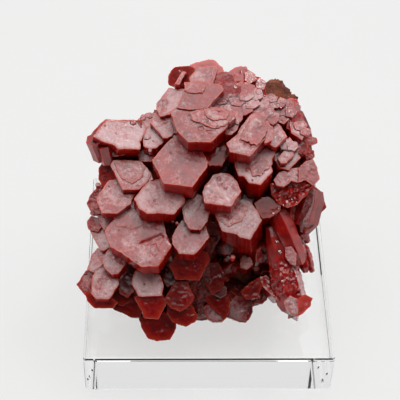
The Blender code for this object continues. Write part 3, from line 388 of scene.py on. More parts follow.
def crystal_arrays(face, thick, step, tone, seed, bevel=0.07, relief=0.03, ledge=0.03, wear=0.10,
                   marks=(), taper=0.0, step_high=None, waves=0.0, wave_size=1.1, sheen=True, plates=0,
                   shade=1.0):
    """A tablet: prism walls with fine growth ledges, a narrow chamfer and a
    face with faint relief. Returns vertices, faces and their attributes."""
    loop = dense_loop(face.outline, step, 0.10)
    n = len(loop)
    rng = np.random.default_rng(seed)
    shift = rng.uniform(0, 100, 3)
    nibble = fbm(np.c_[loop * 0.9, np.zeros(n)] + shift + 50.0, 3)
    nibble = np.floor(np.abs(nibble) * 5.0) / 5.0 + 0.35 * np.abs(
        perlin(np.c_[loop * 2.6, np.zeros(n)] + shift))
    centre = loop.mean(0)
    inward = centre - loop
    inward /= np.linalg.norm(inward, axis=1)[:, None]
    loop = loop + inward * (wear * 1.6 * nibble)[:, None]
    centre = loop.mean(0)
    reach = np.linalg.norm(loop - centre, axis=1)
    apothem = max(0.4, float(np.min(reach)))
    bevel = min(bevel, 0.2 * apothem, 0.3 * thick)
    radial = (loop - centre) / reach[:, None]

    rings, heights = [], []
    walls = max(3, int(round((thick - bevel) / (step_high or step * 1.25))))
    hs = np.linspace(-thick, -bevel, walls + 1)
    for h in hs:
        band = perlin(np.array([[h * 1.7 + shift[0], shift[1], 0.5]]))[0]
        band += 0.6 * perlin(np.array([[h * 4.1 + shift[1], shift[2], 0.5]]))[0]
        inset = ledge * (band + 0.5) * min(1.0, -h / 0.4) + taper * (-h / thick)
        rings.append(loop - radial * inset)
        heights.append(np.full(n, h))
    wall_flat = np.concatenate(rings)
    wall_high = np.concatenate(heights)
    wp = np.c_[wall_flat, wall_high]
    push = 0.025 * fbm(wp * np.array([0.8, 0.8, 1.6]) + shift, 3)
    out_dir = wall_flat - centre
    out_dir /= np.linalg.norm(out_dir, axis=1)[:, None]
    wall_flat = wall_flat + out_dir * (push * smooth(0.0, 0.5, -wall_high))[:, None]

    # the face
    rim_loop = loop - radial * bevel
    marks = list(marks)
    steps = [(height, face.flat(poly), soft) for height, poly, soft in marks]
    for poly in platelets(face.outline, rng, plates, 0.42):
        steps.append((rng.choice([0.02, 0.03, 0.04, -0.03]), poly, 0.04))
    lines = [mark_lines(poly) for _, poly, _ in steps]
    tp, names, tfaces = face_points(rim_loop, face.outline, step, lines)
    p3 = np.c_[tp, np.zeros(len(tp))] + shift
    edge = polygon_distance(tp, rim_loop)
    fade = smooth(0.0, 0.5, edge)
    base = fbm(p3 * 0.55, 3)
    terraces = np.floor(base * 3.5 + 0.5 + 0.25 * perlin(p3 * 2.1)) / 3.5
    bump = relief * (0.6 * base + 1.0 * terraces + 0.4 * fbm(p3 * 1.9, 3))
    if waves:
        bump += waves * (np.abs(fbm(p3 / wave_size + 5.0, 3)) - 0.25)
    lift = bump * fade
    for height, poly, soft in steps:
        d = polygon_distance(tp, poly) + 0.05 * perlin(p3 * 2.7 + 3.1)
        lift += height * smooth(-soft, soft, d) * smooth(0.0, 0.15, edge)
    names = np.array(names)
    lift[names >= 0] = 0.0

    ring_count = walls + 1
    first = ring_count * n                      # the face's own points follow
    index = np.zeros(len(tp), int)
    fresh = names < 0
    index[names >= 0] = first + names[names >= 0]
    index[fresh] = first + n + np.arange(fresh.sum())
    flat = np.concatenate([wall_flat, rim_loop, tp[fresh], centre[None]])
    high = np.concatenate([wall_high, np.zeros(n), lift[fresh], [-thick]])
    rim = np.concatenate([np.zeros(first + n), np.clip(edge[fresh], 0, None), [0.0]])
    last = len(flat) - 1

    verts = face.place(flat, high)
    idx = np.arange(n)
    nxt = (idx + 1) % n
    quads = np.concatenate([np.stack([r * n + idx, r * n + nxt, (r + 1) * n + nxt,
                                      (r + 1) * n + idx], 1) for r in range(ring_count)])
    tris = np.array([[index[k] for k in f] for f in tfaces])
    a, b, c = flat[tris[:, 0]], flat[tris[:, 1]], flat[tris[:, 2]]
    turned = ((b - a)[:, 0] * (c - a)[:, 1] - (b - a)[:, 1] * (c - a)[:, 0]) < 0
    tris[turned] = tris[turned][:, ::-1]
    base_tris = np.stack([nxt, idx, np.full(n, last)], 1)
    top = 0 if sheen else 1
    return dict(verts=verts, quads=quads, qmat=np.ones(len(quads), int),
                tris=np.concatenate([tris, base_tris]),
                tmat=np.concatenate([np.full(len(tris), top), np.ones(n, int)]),
                tone=np.full(len(verts), tone), rim=rim, deep=np.clip(-high, 0, None),
                shade=np.full(len(verts), shade))


def small_crystal(middle, normal, radius, thick, turn, tone, stretch=1.0, shade=1.0,
                  sheen=True):
    """A small plain tablet: a bevelled six-sided prism."""
    normal = np.asarray(normal, float)
    normal /= np.linalg.norm(normal)
    helper = np.array([0.0, 0.0, 1.0]) if abs(normal[2]) < 0.9 else np.array([1.0, 0, 0])
    side = np.cross(helper, normal)
    side /= np.linalg.norm(side)
    rise = np.cross(normal, side)
    angle = turn + np.arange(6) * math.pi / 3
    ring = np.c_[np.cos(angle) * stretch, np.sin(angle)] * radius
    b = min(0.14 * radius, 0.12)
    rows = [(1.0, -thick), (1.0, -b), ((radius - b) / radius, 0.0),
            ((radius - b) / radius * 0.5, 0.012 * radius)]
    verts = []
    for s, h in rows:
        verts.append(middle + ring[:, :1] * s * side + ring[:, 1:] * s * rise + h * normal)
    verts.append((middle + 0.02 * radius * normal)[None])
    verts.append((middle - thick * normal)[None])
    verts = np.concatenate(verts)
    idx = np.arange(6)
    nxt = (idx + 1) % 6
    quads = np.concatenate([np.stack([r * 6 + idx, r * 6 + nxt, (r + 1) * 6 + nxt,
                                      (r + 1) * 6 + idx], 1) for r in range(3)])
    qmat = np.repeat([1, 1, 0 if sheen else 1], 6)
    tris = np.concatenate([np.stack([18 + idx, 18 + nxt, np.full(6, 24)], 1),
                           np.stack([nxt, idx, np.full(6, 25)], 1)])
    tmat = np.repeat([0 if sheen else 1, 1], 6)
    rim = np.zeros(26)
    rim[18:25] = radius * 0.5
    deep = np.zeros(26)
    deep[0:6] = thick
    deep[25] = thick
    return dict(verts=verts, quads=quads, qmat=qmat, tris=tris, tmat=tmat,
                tone=np.full(26, tone), rim=rim, deep=deep, shade=np.full(26, shade))


ATTRS = ("tone", "rim", "deep", "shade")


def mesh_object(name, parts, materials):
    """One object from a list of array sets, each a closed shell."""
    verts, faces, mats, att = [], [], [], {k: [] for k in ATTRS}
    start = 0
    for p in parts:
        verts.append(p["verts"])
        faces += (p["quads"] + start).tolist()
        faces += (p["tris"] + start).tolist()
        mats.append(p["qmat"])
        mats.append(p["tmat"])
        for k in ATTRS:
            att[k].append(p[k])
        start += len(p["verts"])
    mesh = bpy.data.meshes.new(name)
    mesh.from_pydata((np.concatenate(verts) * MM).tolist(), [], faces)
    mesh.polygons.foreach_set("material_index", np.concatenate(mats).astype(np.int32))
    for k in ATTRS:
        layer = mesh.attributes.new(k, 'FLOAT', 'POINT')
        layer.data.foreach_set("value", np.concatenate(att[k]).astype(np.float32))
    for mat in materials:
        mesh.materials.append(mat)
    obj = bpy.data.objects.new(name, mesh)
    bpy.context.scene.collection.objects.link(obj)
    return obj


def evaluated_mesh(obj):
    bpy.context.view_layer.update()
    deps = bpy.context.evaluated_depsgraph_get()
    return bpy.data.meshes.new_from_object(obj.evaluated_get(deps))


def combine(a, b, operation):
    """Boolean of a with b, applied; b is removed."""
    mod = a.modifiers.new("cut", 'BOOLEAN')
    mod.operation = operation
    mod.solver = 'MANIFOLD'
    mod.object = b
    mesh = evaluated_mesh(a)
    a.modifiers.clear()
    old = a.data
    a.data = mesh
    bpy.data.meshes.remove(old)
    bpy.data.objects.remove(b)
    return a


def union_all(name, solids, materials):
    """Joins closed shells into one solid, two by two."""
    level = [mesh_object(f"{name}_{i}", [s], materials) if isinstance(s, dict) else s
             for i, s in enumerate(solids)]
    while len(level) > 1:
        nxt = [combine(a, b, 'UNION') for a, b in zip(level[::2], level[1::2])]
        if len(level) % 2:
            nxt.append(level[-1])
        level = nxt
    out = level[0]
    out.name = name
    out.data.name = name
    return out


def tidy(obj, smallest=0.02):
    """Keeps the shells that point outwards and are bigger than a crumb;
    removes closed voids."""
    bm = bmesh.new()
    bm.from_mesh(obj.data)
    bm.faces.ensure_lookup_table()
    seen = np.zeros(len(bm.faces), bool)
    drop = []
    for face in bm.faces:
        if seen[face.index]:
            continue
        stack, found = [face], []
        seen[face.index] = True
        while stack:
            f = stack.pop()
            found.append(f)
            for e in f.edges:
                for g in e.link_faces:
                    if not seen[g.index]:
                        seen[g.index] = True
                        stack.append(g)
        volume = 0.0
        for f in found:
            a = f.verts[0].co
            for i in range(1, len(f.verts) - 1):
                volume += a.dot(f.verts[i].co.cross(f.verts[i + 1].co)) / 6.0
        if volume < smallest * 1e-9:
            drop += found
    if drop:
        bmesh.ops.delete(bm, geom=drop, context='FACES')
    bm.to_mesh(obj.data)
    bm.free()
    return obj


# ------------------------------------------------- the rock and crystal mass
ROCK_CENTRE = np.array([0.5, 6.0, 28.0])
ROCK_ROUNDNESS = 13.0
ROCK_ROUGHNESS = 1.1
CORE_RADII = (20.5, 24.0, 11.0)
CORE_CENTRE = (-0.5, -0.5, -5.5)
CORE_NOTCH_AT = 124.0
CORE_NOTCH_DEPTH = 0.17
CRUST = 2.0
CRUST_EDGE_NORMAL = np.array([0.12, 0.90, -0.42])
CRUST_EDGE_AT = 7.0
ROCK_KNOBS = (((15.8, 22.0, 1.0), 2.0, 13.0), ((8.5, -19.5, -1.5), 4.0, 10.0))
ROOT_SCALE = 0.72
ROOT_LENGTH = 6.5
ROOT_FROM = 27.0
ROCK_PLANES = (((0.0, 0.0, -1.0), 18.0), ((0.0, -0.682, 0.731), 6.8),
               ((0.05, -1.0, -0.12), 14.0), ((0.10, 1.0, 0.08), 16.5),
               ((-0.10, 0.70, 0.71), 20.5), ((0.10, 0.15, 1.0), 20.8),
               ((-1.0, 0.0, 0.16), 17.4), ((1.0, 0.0, 0.02), 18.6),
               ((-0.72, 0.10, 0.69), 14.2), ((0.70, 0.05, 0.71), 24.0),
               ((-0.75, -0.65, 0.0), 18.0), ((0.75, -0.65, 0.0), 18.5),
               ((-0.78, 0.62, -0.10), 20.0), ((0.62, 0.78, 0.10), 21.5))


def rock_reach(d, knobs=True):
    """Distance from the rock's centre to its surface, for (n, 3) directions."""
    total = np.zeros(len(d))
    for normal, distance in ROCK_PLANES:
        normal = np.array(normal) / np.linalg.norm(normal)
        along = np.clip(d @ normal, 0, None)
        total += (along / distance) ** ROCK_ROUNDNESS
    reach = total ** (-1.0 / ROCK_ROUNDNESS)
    for (u, v, w), height, width in (ROCK_KNOBS if knobs else ()):
        toward = board_point(u, v, w) - ROCK_CENTRE
        toward /= np.linalg.norm(toward)
        apart = np.degrees(np.arccos(np.clip(d @ toward, -1, 1)))
        reach = reach + height * np.exp(-(apart / width) ** 2)
    return reach


def sphere(fineness):
    bm = bmesh.new()
    bmesh.ops.create_icosphere(bm, subdivisions=fineness, radius=1.0)
    verts = np.array([v.co[:] for v in bm.verts])
    faces = np.array([[v.index for v in f.verts] for f in bm.faces])
    bm.free()
    verts /= np.linalg.norm(verts, axis=1)[:, None]
    return verts, faces


def blender_noise(points, kind, *args):
    f = getattr(noise, kind)
    return np.array([f(Vector(p), *args) for p in points.tolist()])


def lump(verts, faces, tone=0.5, mat=2):
    n = len(verts)
    return dict(verts=verts, quads=np.zeros((0, 4), int), qmat=np.zeros(0, int),
                tris=faces, tmat=np.full(len(faces), mat), tone=np.full(n, tone),
                rim=np.zeros(n), deep=np.full(n, 3.0), shade=np.ones(n))


def flat_cut(obj, level):
    """Cuts a solid off flat at a level in mm and closes the cut."""
    bm = bmesh.new()
    bm.from_mesh(obj.data)
    geom = bm.verts[:] + bm.edges[:] + bm.faces[:]
    cut = bmesh.ops.bisect_plane(bm, geom=geom, dist=1e-7, plane_co=(0, 0, level * MM),
                                 plane_no=(0, 0, -1), clear_outer=True)
    rim = [e for e in cut['geom_cut'] if isinstance(e, bmesh.types.BMEdge)]
    if rim:
        bmesh.ops.holes_fill(bm, edges=rim)
    bm.to_mesh(obj.data)
    bm.free()
    return obj


def rock_solid(name, fineness, grow, detail, materials):
    d, faces = sphere(fineness)
    reach = rock_reach(d) + ROCK_ROUGHNESS * blender_noise(
        d * 3.1 + (4.0, 1.0, 7.0), "fractal", 0.8, 2.1, 4)
    p = ROCK_CENTRE + d * (reach + grow)[:, None]
    if detail:
        rough = 1.1 * fbm(p * 0.40, 3) + 0.9 * np.abs(fbm(p * 0.8 + 7.0, 3)) - 0.3
        rough += 0.45 * (facets(p, 1.6, 3) - 0.4) + 0.16 * (facets(p, 0.8, 4) - 0.4)
        crack = np.abs(fbm(p * 0.22 + 3.0, 3))
        rough -= 0.5 * (1 - smooth(0.0, 0.05, crack))
        p = p + d * np.clip(rough, -1.4, 1.1)[:, None]
    return mesh_object(name, [lump(p, faces, 0.5, 0)], materials)


def core_points(fineness, detail=0.0):
    d, faces = sphere(fineness)
    bulge = 1.0 + 0.05 * blender_noise(d * 2.3 + (9.0, 2.0, 5.0), "fractal", 0.9, 2.0, 3)
    around = np.degrees(np.arctan2(d[:, 1], d[:, 0]))
    bulge -= CORE_NOTCH_DEPTH * np.exp(-((around - CORE_NOTCH_AT) / 20.0) ** 2)
    q = d * bulge[:, None] * CORE_RADII + CORE_CENTRE
    p = FOCUS + q[:, :1] * RIGHT + q[:, 1:2] * UP - q[:, 2:] * FORWARD
    if detail:
        p = p + (p - p.mean(0)) / 20 * (detail * facets(p))[:, None]
    return p, faces


def facets(p, size=1.6, seed=5):
    """A blocky height, 0 to 1: small crystal faces packed side by side."""
    rng = np.random.default_rng(seed)
    cells = p / size
    base = np.floor(cells).astype(int)
    best = np.full(len(p), 9.0)
    height = np.zeros(len(p))
    for dx in (-1, 0, 1):
        for dy in (-1, 0, 1):
            for dz in (-1, 0, 1):
                c = base + (dx, dy, dz)
                h = (c[:, 0] * 73856093 ^ c[:, 1] * 19349663 ^ c[:, 2] * 83492791) & 0xffff
                r = np.stack([((h * k) % 65521) / 65521.0 for k in (13, 2371, 9091)], 1)
                d = np.linalg.norm(cells - (c + r), axis=1)
                near = d < best
                best = np.where(near, d, best)
                height = np.where(near, ((h * 31) % 997) / 997.0, height)
    return height * np.clip(1.6 - best, 0, 1)


def crust_points(fineness, detail=0.0):
    d, faces = sphere(fineness)
    seat = ROCK_CENTRE + d * rock_reach(d, knobs=False)[:, None]
    behind = (seat - ROCK_CENTRE) @ CRUST_EDGE_NORMAL - CRUST_EDGE_AT
    behind += 6.0 * blender_noise(d * 2.6 + (3.0, 8.0, 1.0), "noise")
    rise = CRUST * np.clip(-behind / 1.5, -1.0, 1.0)
    lumps = blender_noise(d * 7.0 + (1.0, 5.0, 2.0), "noise") * 0.6
    if detail:
        lumps = lumps + detail * (facets(seat, 1.9, 8) - 0.55) * smooth(-1.5, 1.0, rise)
    # the crust is thin where the rock's first knob comes through
    knob = board_point(*ROCK_KNOBS[0][0]) - ROCK_CENTRE
    away = np.degrees(np.arccos(np.clip(d @ (knob / np.linalg.norm(knob)), -1, 1)))
    rise = rise - 3.4 * np.exp(-(away / 13.0) ** 2)
    return seat + d * (rise + lumps)[:, None], faces, d


def hollow_points(middle, radii, fineness=4):
    d, faces = sphere(fineness)
    q = d * radii + middle
    return FOCUS + q[:, :1] * RIGHT + q[:, 1:2] * UP - q[:, 2:] * FORWARD, faces


def on_board(p):
    """Board squares of (n, 3) points."""
    ray = p - EYE
    depth = ray @ FORWARD
    return np.c_[200.0 + BOARD_SCALE * (ray @ RIGHT) / depth,
                 200.0 - BOARD_SCALE * (ray @ UP) / depth]


def inside_outline(points):
    poly = np.array(OUTLINE, float)
    return polygon_distance(on_board(points), poly) > 0


def flank_specs(rng):
    """The tablets round the rim of the crust, as the construction has them."""
    toward = -FORWARD
    for ring, (polar, count) in enumerate(((72, 20), (92, 20), (112, 16))):
        for i in range(count):
            around = math.radians(360 * (i + 0.5 * ring) / count) + rng.uniform(-0.12, 0.12)
            tip = math.radians(polar + rng.uniform(-6, 6))
            direction = (toward * math.cos(tip)
                         + (RIGHT * math.cos(around) + UP * math.sin(around)) * math.sin(tip))
            seat = (ROCK_CENTRE + direction * rock_reach(direction[None], False)[0]
                    + direction * CRUST)
            if (seat - ROCK_CENTRE) @ CRUST_EDGE_NORMAL > CRUST_EDGE_AT - 0.5:
                continue
            radius = rng.uniform(2.0, 3.6)
            lean = rng.uniform(-0.3, 0.3, 3)
            normal = direction * 0.8 + toward * 0.45 + lean
            normal /= np.linalg.norm(normal)
            stretch, turn = rng.uniform(0.85, 1.15), rng.uniform(0, 1)
            thick = rng.uniform(4.0, 6.0)
            proud = rng.uniform(0.8, 2.2)
            side = np.array(Vector(normal).orthogonal().normalized())
            rise = np.cross(normal, side)
            angle = turn + np.arange(6) * math.pi / 3
            flat = np.c_[radius * stretch * np.cos(angle), radius * np.sin(angle)]
            for _ in range(8):
                face = seat + normal * proud
                ring_pts = face + flat[:, :1] * side + flat[:, 1:] * rise
                corners = np.concatenate([ring_pts, ring_pts - normal * thick])
                if inside_outline(corners).all():
                    break
                proud -= 0.6
            else:
                continue
            if corners[:, 2].min() < BLOCK_HEIGHT - 2:
                continue
            yield face, normal, side, rise, flat, thick


def spare_specs(name, spec, rng):
    direction, spread, count = spec
    outward = np.array(direction) / np.linalg.norm(direction)
    seat = ROCK_CENTRE + outward * rock_reach(outward[None])[0]
    for i in range(count):
        lean = rng.uniform(-0.45, 0.45, 3)
        normal = outward + lean
        normal /= np.linalg.norm(normal)
        side = np.array(Vector(normal).orthogonal().normalized())
        rise = np.cross(normal, side)
        shift = rng.uniform(-0.4, 0.4, 3) * spread
        shift -= outward * (shift @ outward)
        radius = spread * rng.uniform(0.42, 0.62)
        thick = radius * rng.uniform(0.9, 1.3)
        proud = radius * rng.uniform(0.25, 0.55)
        stretch, turn = rng.uniform(0.85, 1.15), rng.uniform(0, 1)
        angle = turn + np.arange(6) * math.pi / 3
        flat = np.c_[radius * stretch * np.cos(angle), radius * np.sin(angle)]
        yield seat + shift + normal * proud, normal, side, rise, flat, thick


def free_face(middle, normal, side, rise, flat):
    face = Face.__new__(Face)
    face.middle, face.normal, face.side, face.rise = middle, normal, side, rise
    face.outline = flat
    return face


def root_spec(spec):
    name, depth, tilt_x, tilt_y, thick, corners = spec
    cx = sum(c[0] for c in corners) / len(corners)
    cy = sum(c[1] for c in corners) / len(corners)
    small = [(cx + (x - cx) * ROOT_SCALE, cy + (y - cy) * ROOT_SCALE)
             for x, y in corners]
    return (name + "_root", depth - 0.5, tilt_x, tilt_y, thick + ROOT_LENGTH, small)


def scattered(points, faces, count, seed, keep, size=(0.45, 1.1), upright=0.55, sink=0.45,
              tone=(0.0, 0.6), shade=(0.6, 1.0)):
    """Small crystals spread over a surface; keep() picks where they may be."""
    rng = np.random.default_rng(seed)
    a, b, c = points[faces[:, 0]], points[faces[:, 1]], points[faces[:, 2]]
    cross = np.cross(b - a, c - a)
    area = np.linalg.norm(cross, axis=1)
    middle = (a + b + c) / 3
    weight = area * keep(middle)
    chosen = rng.choice(len(faces), count, p=weight / weight.sum())
    out = []
    for k in chosen:
        u, v = sorted(rng.uniform(0, 1, 2))
        place = a[k] * u + b[k] * (v - u) + c[k] * (1 - v)
        normal = cross[k] / area[k] * upright + rng.normal(0, 0.38, 3) - FORWARD * 0.25
        normal /= np.linalg.norm(normal)
        radius = size[0] + (size[1] - size[0]) * rng.uniform(0, 1) ** 1.6
        thick = radius * rng.uniform(1.2, 2.2)
        centre = place + normal * radius * rng.uniform(0.1, sink)
        out.append(small_crystal(centre, normal, radius, thick, rng.uniform(0, 1),
                                 rng.uniform(*tone), rng.uniform(0.8, 1.2),
                                 rng.uniform(*shade), rng.uniform() < 0.5))
    return out


# ---------------------------------------------------------------- finer parts
def plate(name, x, y, r, w, nx, ny, thick, turn=0.0, squash=0.86):
    """A small, uneven hexagonal tablet on the board, its size in board squares."""
    uneven = np.random.default_rng(int(x * 401 + y)).uniform(0.80, 1.18, 6)
    corners = [(x + r * uneven[k] * math.cos(turn + k * math.pi / 3),
                y + r * uneven[k] * squash * math.sin(turn + k * math.pi / 3)) for k in range(6)]
    return (name, w, nx, ny, thick, corners)


def board_place(x, y, w):
    """The point at board square (x, y), w mm towards the eye."""
    return EYE + sight_line(x, y) * (FOCUS_DEPTH - w)


def rod_arrays(start, end, width, depth, tone, seed, lean=0.0, profile=((0, 1), (1, 1)),
               rough=0.0, rough_size=0.9, rough_from=(0.0, 1.0), shade=1.0, step=0.30,
               section=None, bow=0.0, cap=0.0, bright=()):
    """A prism crystal lying along a line: start and end are board places
    (x, y, w), width and depth in mm. Striations run along it."""
    a, b = board_place(*start), board_place(*end)
    axis = b - a
    length = np.linalg.norm(axis)
    axis /= length
    view = -FORWARD
    across = np.cross(axis, view)
    across /= np.linalg.norm(across)
    out = np.cross(across, axis)
    if out @ view < 0:
        out = -out
    c, s = math.cos(lean), math.sin(lean)
    across, out = c * across + s * out, -s * across + c * out
    section = np.array(section or [(-0.5, -0.1), (-0.22, 0.5), (0.24, 0.5), (0.5, 0.05),
                                   (0.3, -0.5), (-0.3, -0.5)], float)
    section = section * (width, depth)
    ring = dense_loop(section, step, 0.05)
    n = len(ring)
    around = np.concatenate([[0], np.cumsum(np.linalg.norm(np.diff(ring, axis=0), axis=1))])
    count = max(4, int(length / step))
    ts = np.linspace(0, 1, count + 1)
    knots = np.array([p[0] for p in profile], float)
    sizes = np.array([p[1] for p in profile], float)
    scale = np.interp(ts, knots, sizes)
    verts, deep, along = [], [], []
    for t, k in zip(ts, scale):
        centre = a + axis * (t * length) + out * (bow * 4 * t * (1 - t))
        verts.append(centre + ring[:, :1] * k * across + ring[:, 1:] * k * out)
        deep.append(around)
        along.append(np.full(n, t))
    p = np.concatenate(verts)
    deep = np.concatenate(deep)
    along = np.concatenate(along)
    centres = np.repeat(np.array([v.mean(0) for v in verts]), n, axis=0)
    outward = p - centres
    outward /= np.linalg.norm(outward, axis=1)[:, None] + 1e-9
    shift = np.random.default_rng(seed).uniform(0, 100, 3)
    groove = perlin(np.c_[deep * 1.9, np.zeros(len(deep)), along * 0.8] + shift)
    groove += 0.5 * perlin(np.c_[deep * 5.1, np.zeros(len(deep)), along * 1.5] + shift)
    wave = perlin(np.c_[deep * 0.2, along * length * 0.30, np.zeros(len(deep))] + shift + 9)
    push = 0.05 * groove + 0.10 * wave
    if rough:
        t0, t1 = rough_from
        where = smooth(t0 - 0.08, t0 + 0.08, along) * (1 - smooth(t1 - 0.08, t1 + 0.08, along))
        push = push + rough * where * (facets(p, rough_size, seed) - 0.4)
        push = push + 0.5 * rough * where * fbm(p * 1.6 + shift, 3)
    p = p + outward * push[:, None]
    m = count + 1
    ends = np.array([p[:n].mean(0), p[-n:].mean(0) + axis * cap])
    p = np.concatenate([p, ends])
    idx = np.arange(n)
    nxt = (idx + 1) % n
    quads = np.concatenate([np.stack([r * n + idx, r * n + nxt, (r + 1) * n + nxt,
                                      (r + 1) * n + idx], 1) for r in range(m - 1)])
    tris = np.concatenate([np.stack([nxt, idx, np.full(n, m * n)], 1),
                           np.stack([(m - 1) * n + idx, (m - 1) * n + nxt,
                                     np.full(n, m * n + 1)], 1)])
    v0, v1, v2 = p[quads[:, 0]], p[quads[:, 1]], p[quads[:, 2]]
    facing = (np.cross(v1 - v0, v2 - v0) * (v0 - centres[quads[:, 0]])).sum(1).sum()
    if facing < 0:
        quads, tris = quads[:, ::-1], tris[:, ::-1]
    total = len(p)
    qmat = np.ones(len(quads), int)
    # sides listed in bright get the face material, with its frost and painted sheen
    for k in bright:
        # the quads whose middles lie along one side of the section
        e0, e1 = section[k], section[(k + 1) % len(section)]
        mids = (ring + np.roll(ring, -1, 0)) / 2
        e = e1 - e0
        t = ((mids - e0) @ e) / (e @ e)
        near = np.linalg.norm(mids - (e0 + t[:, None] * e), axis=1) < 0.02
        qmat[np.tile(near & (t > 0) & (t < 1), m - 1)] = 0
    return dict(verts=p, quads=quads, qmat=qmat, tris=tris,
                tmat=np.ones(len(tris), int), tone=np.full(total, tone),
                rim=np.full(total, 1.0), deep=np.concatenate([deep, [0, 0]]),
                shade=np.full(total, shade))


# Tablets whose outline is drawn finer here than in the construction.
REDRAWN = {
    "right_lump_a": (8.2, 0.03, 0.30, 7, [(273, 180), (279, 172), (290, 168.5), (300, 167), (301, 175),
                                       (299, 183), (292, 181), (284, 187), (276, 185.5)]),
    "right_lump_b": (8.0, 0.13, 0.27, 8, [(298, 168), (306, 160.5), (313, 158.5), (318, 168), (320, 179),
                                          (313, 186), (305, 180), (298, 183)]),
    "far_right_a": (2.6, 0.30, 0.25, 7, [(303, 197), (310, 188), (316, 187), (321, 191), (327, 207),
                                         (319, 216), (313, 228), (305, 233), (302, 215)]),
    "upper_mid_b": (10.0, 0.0, 0.36, 3.8, [(218, 94), (238, 92), (249, 100), (247, 108.5), (242, 116),
                                         (236, 122), (224, 118), (206, 104)]),
}

# Thin growth layers lying on a tablet: how far they rise (mm), their corners.
LAYERS = [
    ("layer_crown", 0.30, [(189, 113), (196, 108), (214, 109), (229, 111), (232, 118), (226, 126),
                           (214, 129), (205, 126), (199, 122.5), (192, 121)]),
    ("layer_crown_b", 0.55, [(203, 108), (222, 108), (230, 113), (227, 119), (214, 121), (206, 117)]),
    ("layer_shoulder", 0.28, [(184, 82), (198, 80), (206, 84), (204, 93), (190, 94), (183, 90)]),
    ("layer_big", 0.30, [(244, 128), (250, 118), (259, 114), (268, 126), (266, 136), (257, 146),
                         (250, 144), (241, 140)]),
    ("layer_lone", 0.35, [(258, 121), (266, 119), (274, 127), (272, 141), (264, 144), (268, 132)]),
    ("layer_right", 0.25, [(248, 166), (258, 161), (268, 160), (270, 168), (261, 176), (252, 176)]),
    ("layer_left", 0.22, [(114, 163), (130, 160), (146, 166), (142, 178), (132, 184), (120, 178)]),
    ("layer_low", 0.25, [(214, 216), (224, 205), (239, 202), (248, 208), (243, 221), (228, 227)]),
    ("layer_left_big", 0.20, [(112, 214), (128, 208), (144, 210), (150, 222), (132, 230),
                              (116, 226)]),
]

# More tablets, as in TABLETS, and small ones: x, y, radius in squares, depth.
FINER = [
    ("lump_body", 7.2, 0.05, -0.12, 7, [(270, 183), (283, 184), (292, 180), (305, 180), (313, 184),
                                        (307, 195), (297, 205), (288, 208.5), (278, 204),
                                        (271, 195)]),
    ("edge_red", 7.0, 0.10, 0.12, 5, [(287, 118), (296, 113), (303, 118), (302, 130), (294, 134),
                                      (286, 128)]),
    ("edge_low", 6.4, 0.16, 0.10, 4.5, [(294, 140), (304, 138), (309, 146), (304, 156), (295, 155)]),
    ("between_a", 8.2, 0.0, 0.34, 3, [(262, 124), (270, 121), (275, 130), (270, 138), (262, 134)]),
    ("between_b", 8.4, 0.1, 0.35, 3, [(281, 140), (290, 137), (296, 144), (290, 152), (282, 149)]),
    ("left_between", 7.0, -0.1, 0.36, 3, [(136, 152), (146, 149), (156, 152), (152, 162), (140, 162)]),
    ("stack_stripe", 9.4, 0.05, 0.36, 2.6, [(182, 71), (186.5, 71.5), (179.5, 85), (174.5, 84)]),
    ("tip_pink", 6.0, -0.10, 0.30, 4.5, [(283, 301), (290, 295), (298, 299), (299, 310), (297, 317),
                                         (291, 314), (285, 308)]),
    ("tip_red", 5.6, 0.35, 0.20, 4.5, [(298, 298), (306, 294), (313, 298), (311, 306), (303, 314),
                                       (297, 317)]),
    ("blade_facet", 6.0, -0.12, 0.27, 3.0, [(285, 247), (292, 246), (297, 254), (296, 266),
                                            (290, 264), (285, 257)]),
    ("ridge_a", 3.4, 0.10, 0.25, 4.0, [(259, 277), (266, 274), (274, 283), (281, 292), (283, 300),
                                       (276, 300), (268, 292), (262, 286)]),
    ("ridge_b", 4.0, -0.20, 0.15, 5.0, [(240, 292), (250, 282), (259, 277), (262, 287), (258, 298),
                                        (246, 300)]),
    ("fill_low", 2.4, 0.0, 0.05, 5, [(110, 284), (127, 282), (133, 300), (122, 307), (110, 300)]),
    ("stub_orange", 3.9, 0.3, 0.10, 4, [(303, 138), (311, 136), (317, 138), (318, 143), (308, 146)]),
]
